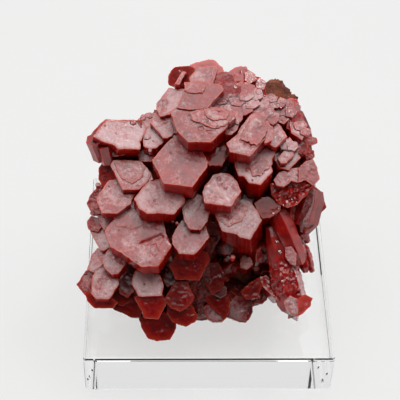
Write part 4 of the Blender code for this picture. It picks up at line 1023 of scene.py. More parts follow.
SMALL = [
    (229, 96, 10.1, 10.7), (238, 99, 9.3, 10.9), (246, 95, 8.5, 10.4), (252, 103, 7.8, 10.2),
    (243, 108, 10.1, 11.0), (233, 109, 9.3, 11.3), (225, 104, 8.5, 11.0), (236, 117, 9.3, 11.2),
    (228, 116, 7.8, 11.5), (219, 99, 7.8, 10.9), (214, 104, 7.0, 11.0), (256, 94, 7.0, 9.6),
    (262, 103, 7.8, 9.9), (268, 111, 7.8, 9.8), (250, 88, 6.2, 9.5), (242, 87, 7.8, 9.6),
    (258, 111, 7.0, 10.1), (273, 117, 8.4, 9.4), (262, 117, 6.2, 9.8), (236, 90, 6.2, 9.8),
    (283, 118, 7.3, 7.9), (291, 111, 7.3, 7.4), (297, 117, 6.6, 7.3), (276, 104, 6.2, 7.6),
    (282, 103, 5.5, 7.2), (271, 98, 6.3, 7.0), (290, 104, 6.2, 6.4), (284, 112, 5.8, 7.6),
    (277, 112, 6.2, 8.0), (297, 108, 4.7, 6.3), (300, 125, 7.3, 7.0), (305, 132, 6.2, 6.4),
    (293, 146, 6.1, 8.4), (300, 150, 5.4, 7.2), (306, 152, 4.9, 6.2), (285, 146, 5.4, 8.9),
    (311, 156, 4.6, 6.0), (258, 92, 3.4, 7.4), (143, 117, 3.6, 7.2), (150, 116, 3.0, 7.4),
    (133, 122, 3.4, 6.8), (147, 136, 3.6, 9.5), (106, 170, 3.2, 5.4), (103, 178, 3.0, 5.2),
    (98, 184, 3.0, 5.0), (97, 190, 2.4, 5.3), (101, 187, 2.4, 5.6), (94, 194, 2.0, 5.2),
    (150, 150, 2.6, 8.8), (156, 151, 2.0, 9.0), (177, 223, 2.2, 9.2), (173, 221, 2.0, 8.9),
    (92, 213, 2.6, 4.8), (96, 208, 2.4, 5.2), (233, 257, 2.8, 8.6),
]
# Prism crystals lying along a line: start, end, width, depth and the rest.
RODS = [
    ("blade_rough", (270, 226, 3.9), (295, 312, 1.8), 6.8, 4.8,
     dict(profile=((0, 0.30), (0.12, 0.52), (0.40, 0.76), (0.62, 1.0), (0.86, 0.96), (0.94, 0.80),
                   (1, 0.45)), rough=0.40, rough_size=0.6, rough_from=(0.40, 0.80),
          bow=0.5, cap=0.4, lean=0.20, bright=(0,))),
    ("blade_smooth", (276, 210, 4.6), (300, 264, 2.2), 4.8, 3.8,
     dict(profile=((0, 0.75), (0.3, 1.0), (0.8, 0.85), (1, 0.5)), lean=-0.25, bow=0.6)),
    ("blade_brown", (299, 243, 1.8), (306, 272, 0.8), 2.4, 2.6,
     dict(profile=((0, 0.6), (0.3, 1.0), (0.8, 0.9), (1, 0.5)), lean=0.1)),
    ("blade_side", (305, 246, 0.4), (312, 272, -0.4), 2.0, 2.4,
     dict(profile=((0, 0.5), (0.4, 1.0), (1, 0.5)), rough=0.3, lean=-0.2)),
    ("blade_spur", (300, 226, 1.6), (308, 242, 0.4), 2.0, 2.4,
     dict(profile=((0, 0.7), (0.4, 1.0), (1, 0.5)), rough=0.3, lean=-0.2)),
]
# shade darkens a rod's colour: painted shade
SIDE_RODS = [
    ("far_prism", (315, 190, 2.0), (304, 233, 2.2), 4.6, 5.4,
     dict(profile=((0, 0.70), (0.2, 1.0), (0.75, 1.0), (1, 0.45)), lean=-0.30, bright=(1,),
          shade=0.8)),
    ("far_inner", (308, 193, 3.8), (297, 224, 3.4), 3.2, 3.6,
     dict(profile=((0, 0.8), (0.3, 1.0), (1, 0.6)), lean=0.3, shade=0.6, bright=(1,))),
    ("wing_side_a", (94, 139, 8.0), (101, 157, 5.0), 3.4, 3.4, dict(lean=0.1)),
    ("wing_side_b", (104, 143, 8.2), (109, 160, 5.6), 3.6, 3.4, dict(lean=-0.1)),
]
# Small bright facets: place on the board and radius in squares.
GLINTS = [(180, 71, 1.6), (235.5, 87, 2.2), (237, 84.5, 1.2), (269, 88.5, 2.3), (264, 95, 1.3),
          (281, 107, 1.6), (286, 107, 1.5), (278, 104, 1.1), (284, 103, 1.0), (289, 111, 1.3),
          (290, 187, 2.4), (294, 191, 2.0), (279, 195, 2.2), (287, 202, 2.0), (284, 205, 1.6),
          (297, 191, 1.1), (301, 187, 1.0), (292, 199, 1.9), (297, 202, 1.7), (233, 257, 2.8),
          (195, 266, 1.2), (193.5, 263, 0.9), (277, 241, 2.6), (280, 252, 1.6), (279.5, 251, 1.8),
          (271, 227, 1.4), (274, 233, 1.0), (92, 195, 1.2),
          (96, 191, 1.1), (99, 188, 1.2), (103, 186, 1.0), (147, 150, 1.3), (152, 150, 1.0),
          (157, 150, 1.2), (177, 223, 1.6), (174, 222, 1.0), (273.5, 213, 1.8), (279, 208.5, 1.1),
          (276, 215, 1.0), (86, 273, 2.0), (91, 277, 1.4), (155, 253, 1.3), (144, 246, 1.4),
          (160, 234, 1.0), (247, 170, 1.3), (200, 123, 1.1), (210, 121, 1.4), (205, 128, 0.9),
          (125, 281, 1.0), (129, 285, 0.9), (300, 127, 0.9), (294, 262, 0.9), (299, 270, 0.8),
          (291, 276, 0.9), (303, 280, 0.8), (296, 287, 0.9), (305, 292, 0.9), 
          (146, 303, 1.2), (173, 275, 0.9), (250, 77, 0.9), (257, 83, 1.2), (262, 88, 1.0)]


# -------------------------------------------------------------- materials
class Nodes:
    """Small helper for building a material's node tree."""

    def __init__(self, name):
        self.mat = bpy.data.materials.new(name)
        self.mat.use_nodes = True
        self.tree = self.mat.node_tree
        self.shader = self.tree.nodes["Principled BSDF"]
        self.coord = self.add("ShaderNodeTexCoord").outputs["Object"]

    def add(self, kind, **props):
        node = self.tree.nodes.new(kind)
        for key, value in props.items():
            setattr(node, key, value)
        return node

    def link(self, a, b):
        self.tree.links.new(a, b)

    def stretched(self, scale, rotation=(0, 0, 0), source=None):
        node = self.add("ShaderNodeMapping")
        node.inputs["Scale"].default_value = scale
        node.inputs["Rotation"].default_value = rotation
        self.link(source or self.coord, node.inputs["Vector"])
        return node.outputs["Vector"]

    def noise(self, size, detail=4.0, rough=0.55, vector=None, distortion=0.0, dims='3D'):
        """Noise whose features are size mm across; 0 to 1, middle 0.5."""
        node = self.add("ShaderNodeTexNoise")
        node.inputs["Scale"].default_value = 1000.0 / size
        node.inputs["Detail"].default_value = detail
        node.inputs["Roughness"].default_value = rough
        node.inputs["Distortion"].default_value = distortion
        self.link(vector or self.coord, node.inputs["Vector"])
        return node.outputs["Fac"]

    def cells(self, size, vector=None, feature='F1', output="Distance"):
        node = self.add("ShaderNodeTexVoronoi")
        node.feature = feature
        node.inputs["Scale"].default_value = 1000.0 / size
        self.link(vector or self.coord, node.inputs["Vector"])
        return node.outputs[output]

    def attribute(self, name):
        node = self.add("ShaderNodeAttribute")
        node.attribute_name = name
        return node.outputs["Fac"]

    def ramp(self, value, stops, interpolation='LINEAR'):
        node = self.add("ShaderNodeValToRGB")
        ramp = node.color_ramp
        ramp.interpolation = interpolation
        while len(ramp.elements) < len(stops):
            ramp.elements.new(0.5)
        for element, (at, colour) in zip(ramp.elements, stops):
            element.position = at
            if isinstance(colour, (int, float)):
                colour = (colour, colour, colour)
            element.color = (*colour, 1.0)
        self.link(value, node.inputs["Fac"])
        return node.outputs["Color"]

    def math(self, op, a, b=None, clamp=False):
        node = self.add("ShaderNodeMath", operation=op)
        node.use_clamp = clamp
        for socket, value in zip(node.inputs, (a, b)):
            if value is None:
                continue
            if isinstance(value, (int, float)):
                socket.default_value = value
            else:
                self.link(value, socket)
        return node.outputs["Value"]

    def mix(self, factor, a, b, blend='MIX'):
        node = self.add("ShaderNodeMix", data_type='RGBA', blend_type=blend)
        for socket, value in ((node.inputs["Factor"], factor), (node.inputs["A"], a),
                              (node.inputs["B"], b)):
            socket = socket if not isinstance(socket, list) else socket[0]
            if isinstance(value, (int, float)):
                socket.default_value = value
            elif isinstance(value, tuple):
                socket.default_value = (*value, 1.0)
            else:
                self.link(value, socket)
        return node.outputs["Result"]

    def bump(self, height, distance, strength=1.0, normal=None):
        node = self.add("ShaderNodeBump")
        node.inputs["Strength"].default_value = strength
        node.inputs["Distance"].default_value = distance * MM
        self.link(height, node.inputs["Height"])
        if normal is not None:
            self.link(normal, node.inputs["Normal"])
        return node.outputs["Normal"]

    def set(self, **values):
        for key, value in values.items():
            socket = self.shader.inputs[key.replace("_", " ")]
            if isinstance(value, (int, float)):
                socket.default_value = value
            elif isinstance(value, tuple):
                socket.default_value = value if len(value) == len(socket.default_value) \
                    else (*value, 1.0)
            else:
                self.link(value, socket)
        return self.mat


def mix_socket(node, name, kind):
    for s in node.inputs:
        if s.name == name and s.type == kind:
            return s
    raise KeyError(name)


def face_material(name, gloss):
    """The flat basal faces: deep red under a glassy lustre, partly frosted, with painted sheen, glints, edge glow and
    shade mixed into the colour.
    """
    n = Nodes(name)
    blotch = n.noise(2.4, 3.0, 0.55)
    grain = n.noise(0.45, 5.0, 0.7)
    value = n.math('ADD', n.math('MULTIPLY', blotch, 0.55), n.math('MULTIPLY', grain, 0.45))
    colour = n.ramp(value, [(0.36, (0.18, 0.002, 0.003)), (0.48, (0.32, 0.006, 0.006)),
                            (0.60, (0.40, 0.012, 0.009)), (0.76, (0.50, 0.040, 0.022))])
    grit = n.ramp(n.noise(0.7, 8.0, 0.85, distortion=0.2), [(0.38, 0.0), (0.62, 1.0)])
    cloud = n.ramp(n.noise(5.0, 4.0, 0.6, distortion=0.3), [(0.36, 0.0), (0.64, 1.0)])
    tone = n.attribute("tone")
    # frost and painted sheen: pale pink-grey mixed into the red, partly real frosting and partly a painted reflection
    # of the light above
    frost_and_sheen = n.math('ADD', n.math('MULTIPLY', grit, 0.55), n.math('MULTIPLY', cloud, 0.60))
    frost_and_sheen = n.math('ADD', frost_and_sheen, n.math('MULTIPLY', tone, 0.50))
    frost_and_sheen = n.ramp(frost_and_sheen, [(0.58, 0.0), (1.62, 0.90)])
    # the frost and painted sheen fade out towards a face's edge, leaving it redder
    margin = n.ramp(n.attribute("rim"), [(0.0, 0.1), (0.50, 1.0)])
    frost_and_sheen = n.math('MULTIPLY', frost_and_sheen, margin)
    colour = n.mix(frost_and_sheen, colour, (0.56, 0.31, 0.31))
    # painted sheen: faces with tone above 0.85 turn pale lilac-pink, a painted reflection of the light above
    painted_sheen = n.math('MULTIPLY', n.ramp(tone, [(0.85, 0.0), (1.0, 0.65)]),
                   n.math('MULTIPLY', margin, n.ramp(n.noise(3.4, 5.0, 0.7), [(0.35, 0.3), (0.6, 1.0)])))
    colour = n.mix(painted_sheen, colour, (0.66, 0.45, 0.47))
    # painted glints: small pale specks where the face is frosted
    painted_glint_specks = n.math('MULTIPLY', n.ramp(n.cells(0.85), [(0.10, 1.0), (0.26, 0.0)]),
                    n.math('MULTIPLY', margin, n.ramp(cloud, [(0.25, 0.0), (0.9, 0.75)])))
    colour = n.mix(painted_glint_specks, colour, (0.74, 0.52, 0.50))
    dark = n.ramp(n.noise(0.55, 6.0, 0.8), [(0.34, 0.55), (0.46, 0.0)])
    colour = n.mix(dark, colour, (0.17, 0.004, 0.005))
    # painted edge glow: the colour turns light orange-red within 0.3 mm of a face's edge, a painted highlight
    edge = n.ramp(n.attribute("rim"), [(0.0, 0.55), (0.10, 0.25), (0.30, 0.0)])
    colour = n.mix(edge, colour, (0.60, 0.15, 0.08))
    # small hollows sunk by the bump below, their colour darkened: painted shade in the pits
    pits_and_shade = n.ramp(n.cells(1.9), [(0.10, 1.0), (0.17, 0.0)])
    pits_and_shade = n.math('MULTIPLY', pits_and_shade, n.ramp(n.noise(3.0, 2.0), [(0.48, 0.0), (0.56, 1.0)]))
    colour = n.mix(pits_and_shade, colour, (0.16, 0.004, 0.004))
    # painted shade: the colour darkens towards near-black where the shade attribute is low
    colour = n.mix(n.attribute("shade"), (0.012, 0.0, 0.0), colour)
    rough = n.math('ADD', n.ramp(n.noise(0.6, 5.0, 0.65), [(0.35, 0.05), (0.70, 0.16)]),
                   n.math('MULTIPLY', frost_and_sheen, 0.12))
    wide = n.bump(n.noise(1.5, 5.0, 0.6, distortion=0.5), 0.11, 1.0)
    fine = n.bump(n.noise(0.45, 6.0, 0.7), 0.040, 1.0, wide)
    fine = n.bump(pits_and_shade, -0.05, 1.0, fine)
    return n.set(Base_Color=colour, Roughness=rough, Normal=fine, IOR=1.68,
                 Specular_IOR_Level=gloss,
                 Subsurface_Weight=0.6, Subsurface_Radius=(1.0, 0.10, 0.07),
                 Subsurface_Scale=0.9 * MM)


def side_material(name, gloss):
    """The prism faces: clear saturated red, glassy, finely striated."""
    n = Nodes(name)
    deep = n.attribute("deep")
    lines = n.add("ShaderNodeTexNoise")
    lines.noise_dimensions = '1D'
    lines.inputs["Scale"].default_value = 2.6
    lines.inputs["Detail"].default_value = 3.0
    lines.inputs["Roughness"].default_value = 0.7
    n.link(n.math('ADD', deep, n.math('MULTIPLY', n.attribute("tone"), 40.0)),
           lines.inputs["W"])
    stripe = lines.outputs["Fac"]
    value = n.math('ADD', n.math('MULTIPLY', stripe, 0.40),
                   n.math('MULTIPLY', n.noise(1.8, 3.0, 0.55), 0.65))
    colour = n.ramp(value, [(0.32, (0.16, 0.0010, 0.0010)), (0.54, (0.36, 0.004, 0.003)),
                            (0.78, (0.52, 0.024, 0.007))])
    # painted glow: walls turn bright orange-red near their top edge, and dull faces near their rim, standing in for
    # light through the thin edges
    painted_wall_glow = n.math('ADD', deep, n.attribute("rim"))
    colour = n.mix(n.ramp(painted_wall_glow, [(0.0, 0.65), (0.25, 0.35), (0.9, 0.0)]), colour,
                   (0.62, 0.055, 0.022))
    # painted shade: the colour darkens towards near-black where the shade attribute is low
    colour = n.mix(n.attribute("shade"), (0.012, 0.0, 0.0), colour)
    rough = n.ramp(n.noise(0.8, 3.0, 0.6), [(0.3, 0.05), (0.7, 0.17)])
    bump = n.bump(stripe, 0.035, 1.0)
    bump = n.bump(n.noise(0.9, 3.0, 0.6), 0.04, 1.0, bump)
    return n.set(Base_Color=colour, Roughness=rough, Normal=bump, IOR=1.68,
                 Specular_IOR_Level=gloss,
                 Subsurface_Weight=0.8, Subsurface_Radius=(1.0, 0.06, 0.03),
                 Subsurface_Scale=1.2 * MM)


def mass_material():
    """The granular crystal mass between and behind the tablets."""
    n = Nodes("vanadinite_mass")
    value = n.math('ADD', n.math('MULTIPLY', n.noise(1.6, 4.0, 0.6), 0.6),
                   n.math('MULTIPLY', n.cells(0.9), 0.5))
    colour = n.ramp(value, [(0.30, (0.045, 0.003, 0.003)), (0.55, (0.16, 0.010, 0.007)),
                            (0.80, (0.32, 0.035, 0.018))])
    rough = n.ramp(n.noise(0.7, 3.0, 0.6), [(0.3, 0.32), (0.7, 0.62)])
    bump = n.bump(n.cells(0.7), 0.22, 1.0)
    bump = n.bump(n.noise(0.25, 3.0, 0.6), 0.05, 1.0, bump)
    return n.set(Base_Color=colour, Roughness=rough, Normal=bump, IOR=1.45)


def rock_material():
    n = Nodes("brown_matrix")
    value = n.math('ADD', n.math('MULTIPLY', n.noise(3.6, 5.0, 0.6), 0.65),
                   n.math('MULTIPLY', n.noise(0.5, 4.0, 0.65), 0.35))
    colour = n.ramp(value, [(0.28, (0.035, 0.008, 0.005)), (0.44, (0.13, 0.027, 0.012)),
                            (0.58, (0.26, 0.070, 0.027)), (0.78, (0.40, 0.16, 0.07))])
    pale = n.ramp(n.noise(1.4, 4.0, 0.6, distortion=0.6), [(0.62, 0.0), (0.72, 1.0)])
    colour = n.mix(pale, colour, (0.46, 0.30, 0.19))
    stain = n.ramp(n.noise(5.5, 3.0, 0.5), [(0.52, 0.0), (0.66, 0.75)])
    colour = n.mix(stain, colour, (0.23, 0.035, 0.018))
    rough = n.ramp(n.noise(0.9, 3.0, 0.6), [(0.3, 0.62), (0.7, 0.92)])
    bump = n.bump(n.noise(1.1, 6.0, 0.62), 0.55, 1.0)
    bump = n.bump(n.cells(0.55), 0.14, 1.0, bump)
    return n.set(Base_Color=colour, Roughness=rough, Normal=bump, IOR=1.5)


def acrylic_material():
    """Clear cast acrylic, very slightly marked on its polished faces."""
    n = Nodes("clear_acrylic")
    rough = n.ramp(n.noise(9.0, 3.0, 0.6), [(0.35, 0.0), (0.75, 0.03)])
    n.set(Base_Color=(0.985, 0.992, 0.988, 1.0), Roughness=rough,
          Transmission_Weight=1.0, IOR=1.49)
    # light from the lamps passes through to what stands behind the block
    clear = n.add("ShaderNodeBsdfTransparent")
    clear.inputs["Color"].default_value = (0.93, 0.94, 0.93, 1.0)
    mix = n.add("ShaderNodeMixShader")
    n.link(n.add("ShaderNodeLightPath").outputs["Is Shadow Ray"], mix.inputs["Fac"])
    n.link(n.shader.outputs["BSDF"], mix.inputs[1])
    n.link(clear.outputs["BSDF"], mix.inputs[2])
    n.link(mix.outputs["Shader"], n.tree.nodes["Material Output"].inputs["Surface"])
    return n.mat


def floor_material():
    """A pale, evenly lit seamless floor."""
    n = Nodes("studio_floor")
    shade = n.ramp(n.noise(60.0, 3.0, 0.5), [(0.2, (0.17, 0.17, 0.169)),
                                            (0.8, (0.19, 0.19, 0.189))])
    return n.set(Base_Color=shade, Roughness=0.9, Specular_IOR_Level=0.1,
                 Emission_Color=(1.0, 1.0, 0.995, 1.0), Emission_Strength=0.65)


# ------------------------------------------------------------------ build
# the last two materials are shaded copies with a lower specular level: painted shade on the reflections
MATERIALS = [face_material("vanadinite_faces", 0.5), side_material("vanadinite_sides", 0.5),
             mass_material(), face_material("vanadinite_faces_shaded", 0.22),
             side_material("vanadinite_sides_shaded", 0.22)]
ROCK = [rock_material()]
tones = np.random.default_rng(3)


def board_crystal(spec, step, **extra):
    name, depth, tilt_x, tilt_y, thick, corners = spec
    face = Face(depth, tilt_x, tilt_y, corners)
    tone = tones.uniform(0.2, 0.7)
    if name in FROST_AND_SHEEN:
        tone = FROST_AND_SHEEN[name]
    elif name.startswith("small"):
        tone *= 0.3
    made = crystal_arrays(face, thick, step, tone, len(name) * 131 + int(depth * 10),
                          marks=MARKS.get(name, ()), sheen=name not in DULL,
                          shade=PAINTED_SHADE.get(name, 1.0), **extra)
    # crystals with strong painted shade get the shaded copies of the materials
    if PAINTED_SHADE.get(name, 1.0) < 0.65:       # the darker crystals have less lustre
        made["qmat"] = made["qmat"] + 3
        made["tmat"] = made["tmat"] + 3
    return made


# Raised or sunk patches on the faces: height in mm, outline, softness in mm.
MARKS = {
    "crown": [(-0.10, [(189, 115), (191, 120.5), (200, 121.5), (199, 124), (191, 123.5),
                       (187, 117)], 0.08),
              (-0.10, [(198, 127), (203, 126.5), (204, 130), (199, 131)], 0.08),
              (-0.08, [(206, 131), (213, 130), (212, 133), (207, 133)], 0.08)],
    "right_big": [(-0.12, [(240, 138), (243, 142), (251, 144), (252, 146.5), (242, 145),
                           (239, 140)], 0.08)],
    "left_big": [(-0.30, [(139, 243), (150, 238.5), (160, 233.5), (164, 236), (156, 241),
                          (146, 245), (141, 247)], 0.14),
                 (-0.20, [(150, 245), (156, 243), (159, 252), (155, 257), (151, 253)], 0.12),
                 (-0.12, [(151, 227), (156, 226.5), (155, 229), (152, 229)], 0.08),
                 (0.10, [(165, 236), (172, 246), (158, 266), (150, 264), (158, 250)], 0.08)],
}
# Faces that show no lustre: broken or prism faces that look out at the front.
DULL = {"crown_stub", "low_mid_c", "low_mid_d", "low_centre_b", "foot_left", "right_fracture",
        "right_red_a", "right_red_b", "right_orange", "top_dark", "left_low_base",
        "left_foot", "left_filler", "low_left_b", "centre_right", "far_right_a",
        "foot_mid_b", "top_orange", "low_centre_a", "lump_body", "left_stack", "ridge_a",
        "ridge_b", "tip_red", "low_gray", "left_low_e", "fill_low", "top_rim"}
# Faces broken across in wide shells.
BROKEN = {"heart": 1.5, "lump_body": 2.4, "right_orange": 2.4, "tip_red": 2.4, "ridge_b": 2.4}
# Uneven, broken faces: how deep their hollows are, mm.
WAVES = {"lump_body": 1.5, "right_fracture": 0.10, "heart": 0.28, "low_left_a": 0.16, "right_big": 0.14, "layer_big": 0.14, "centre_left": 0.10,
         "layer_crown": 0.12, "layer_crown_b": 0.15, "crown_stub": 0.2,
         "top_orange": 0.25, "right_orange": 0.25, "edge_red": 0.15, "top_dark": 0.3,
         "far_right_a": 0.12, "far_right_b": 0.10, "left_second": 0.07, "low_right_big": 0.06,
         "left_low_a": 0.10, "ridge_a": 0.3, "ridge_b": 0.3, "tip_pink": 0.10, "tip_red": 0.2,
         "low_mid_c": 0.14, "low_left_b": 0.14, "foot_left": 0.16,
         "low_centre_a": 0.14, "foot_mid_b": 0.14, "foot_mid_a": 0.12, "low_centre_b": 0.12,
         "low_mid_d": 0.12, "foot_right": 0.12}
# Painted shade: how far a crystal's colour is darkened for the shade it lies in; below 0.65 its reflections are dimmed
# too.
PAINTED_SHADE = {"low_mid_c": 0.7, "low_mid_d": 0.35, "centre_right": 0.6, "low_centre_a": 0.55,
         "low_centre_b": 0.7, "foot_left": 0.95, "foot_mid_b": 0.5, "foot_mid_a": 0.6,
         "foot_right": 0.65, "left_foot": 0.5, "left_low_e": 0.5, "low_gray": 0.5,
         "right_fracture": 0.5, "low_left_a": 1.0, "right_lump_b": 0.85, "blade_plate": 0.85, "low_mid_a": 0.8, "low_right_big": 0.75,
         "low_right_small": 0.45, "far_right_b": 0.45, "low_mid_b": 0.8, "crown_stub": 1.1,
         "low_gray": 0.5, "fill_low": 0.5, "top_rim": 1.0, "tip_pink": 0.75, "blade_facet": 0.75,
         "ridge_a": 0.7, "ridge_b": 0.4, "far_right_a": 0.5, "left_stack": 0.8, "low_left_b": 0.8,
         "shoulder": 0.9, "crown": 0.9}
# How frosted a face is and how strong its painted sheen, 0 to 1, where it isn't left to chance.
FROST_AND_SHEEN = {"wing": 0.91, "upper_left_b": 0.8, "upper_left_c": 0.9, "upper_left_a": 0.7,
         "left_chip": 1.0, "heart": 0.5, "centre": 0.0, "tip_pink": 0.1, "blade_facet": 0.1, "crown": 0.05, "shoulder": 0.0,
         "left_big": 0.2, "low_right_big": 0.8, "right_big": 0.65, "left_second": 0.75,
         "left_third": 0.4, "centre_left": 0.7, "right_lump_b": 0.1, "right_lump_a": 0.5, "right_second": 0.9,
         "top_facet_a": 0.1, "top_facet_b": 0.1, "top_red": 0.1, "upper_mid_b": 0.35, "left_low_d": 0.1,
         "left_low_a": 0.6, "low_left_a": 0.86, "low_mid_b": 0.1, "low_mid_a": 0.3}
GLINT_AIM = RIGHT * 0.337 + UP * 0.843 - FORWARD * 0.42     # towards the small lamp
GLINT_AIM /= np.linalg.norm(GLINT_AIM)
WORLD_FRONT, WORLD_BACK, SOFTBOX = 0.05, 0.80, 2.05

rng = np.random.default_rng(11)
dice = np.random.default_rng(77)

TABLETS = [(spec[0], *REDRAWN[spec[0]]) if spec[0] in REDRAWN else spec for spec in TABLETS]
SHOWN = TABLETS + FINER


def host_of(x, y):
    """The foremost tablet at a board square: its depth there and its tilts."""
    best = None
    for name, depth, tilt_x, tilt_y, thick, corners in TABLETS + FINER:
        if polygon_distance(np.array([[x, y]], float), np.array(corners, float))[0] < -1.0:
            continue
        face = Face(depth, tilt_x, tilt_y, corners)
        ray = sight_line(x, y)
        far = ((face.middle - EYE) @ face.normal) / (ray @ face.normal)
        here = FOCUS_DEPTH - far
        if best is None or here > best[0]:
            best = (here, tilt_x, tilt_y)
    return best


for name, lift, corners in LAYERS:
    x, y = np.mean(corners, axis=0)
    host = host_of(x, y)
    SHOWN.append((name, host[0] + lift, host[1], host[2], lift + 0.8, corners))
for i, (x, y, r, w) in enumerate(SMALL):
    host = host_of(x, y)
    nx, ny = dice.uniform(-0.10, 0.10), dice.uniform(0.28, 0.42)
    if host is not None and abs(host[0] - w) < 3.0:
        w = host[0] + dice.uniform(0.10, 0.32)
        nx, ny = host[1] + dice.uniform(-0.04, 0.04), host[2] + dice.uniform(-0.04, 0.04)
    SHOWN.append(plate(f"small_{i}", x, y, r, w, nx, ny, 1.0 + r * 0.2, dice.uniform(0.2, 0.5),
                       dice.uniform(0.75, 1.0)))

# tablets
fronts = []
for name, wanted in (("crystals_upper", lambda y: y < 196), ("crystals_lower", lambda y: y >= 196)):
    chosen = [spec for spec in SHOWN
              if wanted(sum(c[1] for c in spec[5]) / len(spec[5]))]
    solids = []
    for spec in chosen:
        wide = max(c[0] for c in spec[5]) - min(c[0] for c in spec[5])
        solids.append(board_crystal(spec, 0.30 if wide > 12 else 0.24, plates=1 if wide > 24 else 0,
                                    waves=WAVES.get(spec[0], 0.06 if wide > 12 else 0.0),
                                    wave_size=BROKEN.get(spec[0], 1.1),
                                    wear=0.34 if spec[0].startswith("layer") else
                                    0.14 if wide > 12 else 0.07))
        if spec[0].startswith("small"):
            solids[-1]["qmat"][:] = 0
        # no painted edge glow and no sheen fade at the edges of small plates and blades
        if spec[0].startswith(("small", "blade_")):
            solids[-1]["rim"][:] = 0.6
    for label, start, end, width, depth, more in SIDE_RODS:
        if wanted((start[1] + end[1]) / 2):
            solids.append(rod_arrays(start, end, width, depth, tones.uniform(0, 1),
                                     len(solids) + 40, **more))
    fronts.append(union_all(name, solids, MATERIALS))

# crystal mass, crust, roots and flank tablets
core_p, core_f = core_points(5, 0.7)
core = mesh_object("mass_core", [lump(core_p, core_f)], MATERIALS)
crust_p, crust_f, _ = crust_points(6, 0.6)
crust = mesh_object("mass_crust", [lump(crust_p, crust_f)], MATERIALS)
mass = combine(core, crust, 'UNION')
hollow_p, hollow_f = hollow_points((9.5, -13.2, 4.5), (9.5, 9.0, 10.0))
mass = combine(mass, mesh_object("mass_recess", [lump(hollow_p, hollow_f)], MATERIALS),
               'DIFFERENCE')
more = [mass]
for spec in TABLETS:
    xs = [corner[0] for corner in spec[5]]
    if max(xs) - min(xs) > ROOT_FROM:
        more.append(mesh_object(spec[0] + "_root",
                                [board_crystal(root_spec(spec), 0.6)], MATERIALS))
for i, (middle, normal, side, rise, flat, thick) in enumerate(flank_specs(rng)):
    more.append(mesh_object(f"flank_{i}", [crystal_arrays(
        free_face(middle, normal, side, rise, flat), thick, 0.42,
        tones.uniform(0, 0.5), 500 + i)], MATERIALS))


def on_crust(p):
    """Where the crust shows: in front of its edge and inside the outline."""
    behind = (p - ROCK_CENTRE) @ CRUST_EDGE_NORMAL - CRUST_EDGE_AT
    shown = polygon_distance(on_board(p), np.array(OUTLINE, float)) > 4.0
    return (behind < -0.5) & shown & (p[:, 2] > BLOCK_HEIGHT + 2.0)


for i, chip in enumerate(scattered(crust_p, crust_f, 420, 31, on_crust, (0.5, 1.5))):
    more.append(mesh_object(f"chip_{i}", [chip], MATERIALS))


def on_core(p):
    shown = polygon_distance(on_board(p), np.array(OUTLINE, float)) > 3.0
    return shown & (p[:, 2] > BLOCK_HEIGHT + 2.0) & ((p - board_point(*CORE_CENTRE)) @ -FORWARD > 1.0)


# chips on the core sit in the recess and the gaps, and are darkened with painted shade
for i, chip in enumerate(scattered(core_p, core_f, 160, 32, on_core, (0.5, 1.6), shade=(0.15, 0.45))):
    more.append(mesh_object(f"chip_core_{i}", [chip], MATERIALS))
mass = union_all("crystal_mass", more, MATERIALS)
rock_cut = rock_solid("rock_cut", 5, -0.12, False, MATERIALS)
mass = combine(mass, rock_cut, 'DIFFERENCE')
flat_cut(mass, BLOCK_HEIGHT + REST_GAP)
tidy(mass)
for front in fronts:
    combine(front, rock_solid("rock_cut", 5, -0.12, False, MATERIALS), 'DIFFERENCE')
    flat_cut(front, BLOCK_HEIGHT + REST_GAP)
    tidy(front)

# blades
blades = union_all("crystal_blades_fine",
                   [rod_arrays(start, end, width, depth, tones.uniform(0, 1), 60 + k, **more)
                    for k, (_, start, end, width, depth, more) in enumerate(RODS)], MATERIALS)
blades = combine(blades, rock_solid("rock_cut", 5, -0.12, False, MATERIALS), 'DIFFERENCE')
flat_cut(blades, BLOCK_HEIGHT + REST_GAP)
tidy(blades)

# rock
rock = rock_solid("matrix_rock", 7, 0.0, True, ROCK)
flat_cut(rock, BLOCK_HEIGHT + REST_GAP)

# groups on the back
groups = []
for name, spec in SPARE_GROUPS.items():
    solids = [crystal_arrays(free_face(m, nrm, s, r, flat), thick, 0.36,
                             tones.uniform(0, 1), 900 + i)
              for i, (m, nrm, s, r, flat, thick) in enumerate(spare_specs(name, spec, rng))]
    group = union_all(name + "_fine", solids, MATERIALS)
    group = combine(group, rock_solid("rock_cut", 5, -0.12, False, MATERIALS), 'DIFFERENCE')
    flat_cut(group, BLOCK_HEIGHT + REST_GAP)
    tidy(group)
    groups.append((group, name))

# bright facets, each set on whatever the sight line meets
shown = fronts + [mass, blades]
trees = [BVHTree.FromPolygons([v.co for v in obj.data.vertices],
                              [p.vertices for p in obj.data.polygons]) for obj in shown]
chips = [[] for _ in shown]
for x, y, r in GLINTS:
    ray = sight_line(x, y)
    hits = []
    for k, tree in enumerate(trees):
        hit = tree.ray_cast(Vector(EYE * MM), Vector(ray).normalized())
        if hit[0] is not None:
            hits.append((hit[3], k, np.array(hit[0]) / MM))
    if not hits:
        continue
    _, k, place = min(hits)
    to_eye = (EYE - place) / np.linalg.norm(EYE - place)
    normal = to_eye + np.array(GLINT_AIM) + dice.normal(0, 0.03, 3)
    normal /= np.linalg.norm(normal)
    radius = r * 0.19
    # tone 0.9 gives the glints strong frost and some painted sheen in their colour
    chips[k].append(small_crystal(place + normal * 0.22 * radius - to_eye * 0.1 * radius, normal,
                                  radius, radius * 1.6, dice.uniform(0, 1), 0.9,
                                  dice.uniform(0.8, 1.2)))
for k, (obj, found) in enumerate(zip(shown, chips)):
    if found:
        combine(obj, union_all(f"glints_{k}", found, MATERIALS), 'UNION')

for obj in fronts + [mass, blades, rock] + [g for g, _ in groups]:
    obj.data.shade_smooth()
    obj.data.set_sharp_from_angle(angle=math.radians(24))
rock.data.set_sharp_from_angle(angle=math.radians(60))

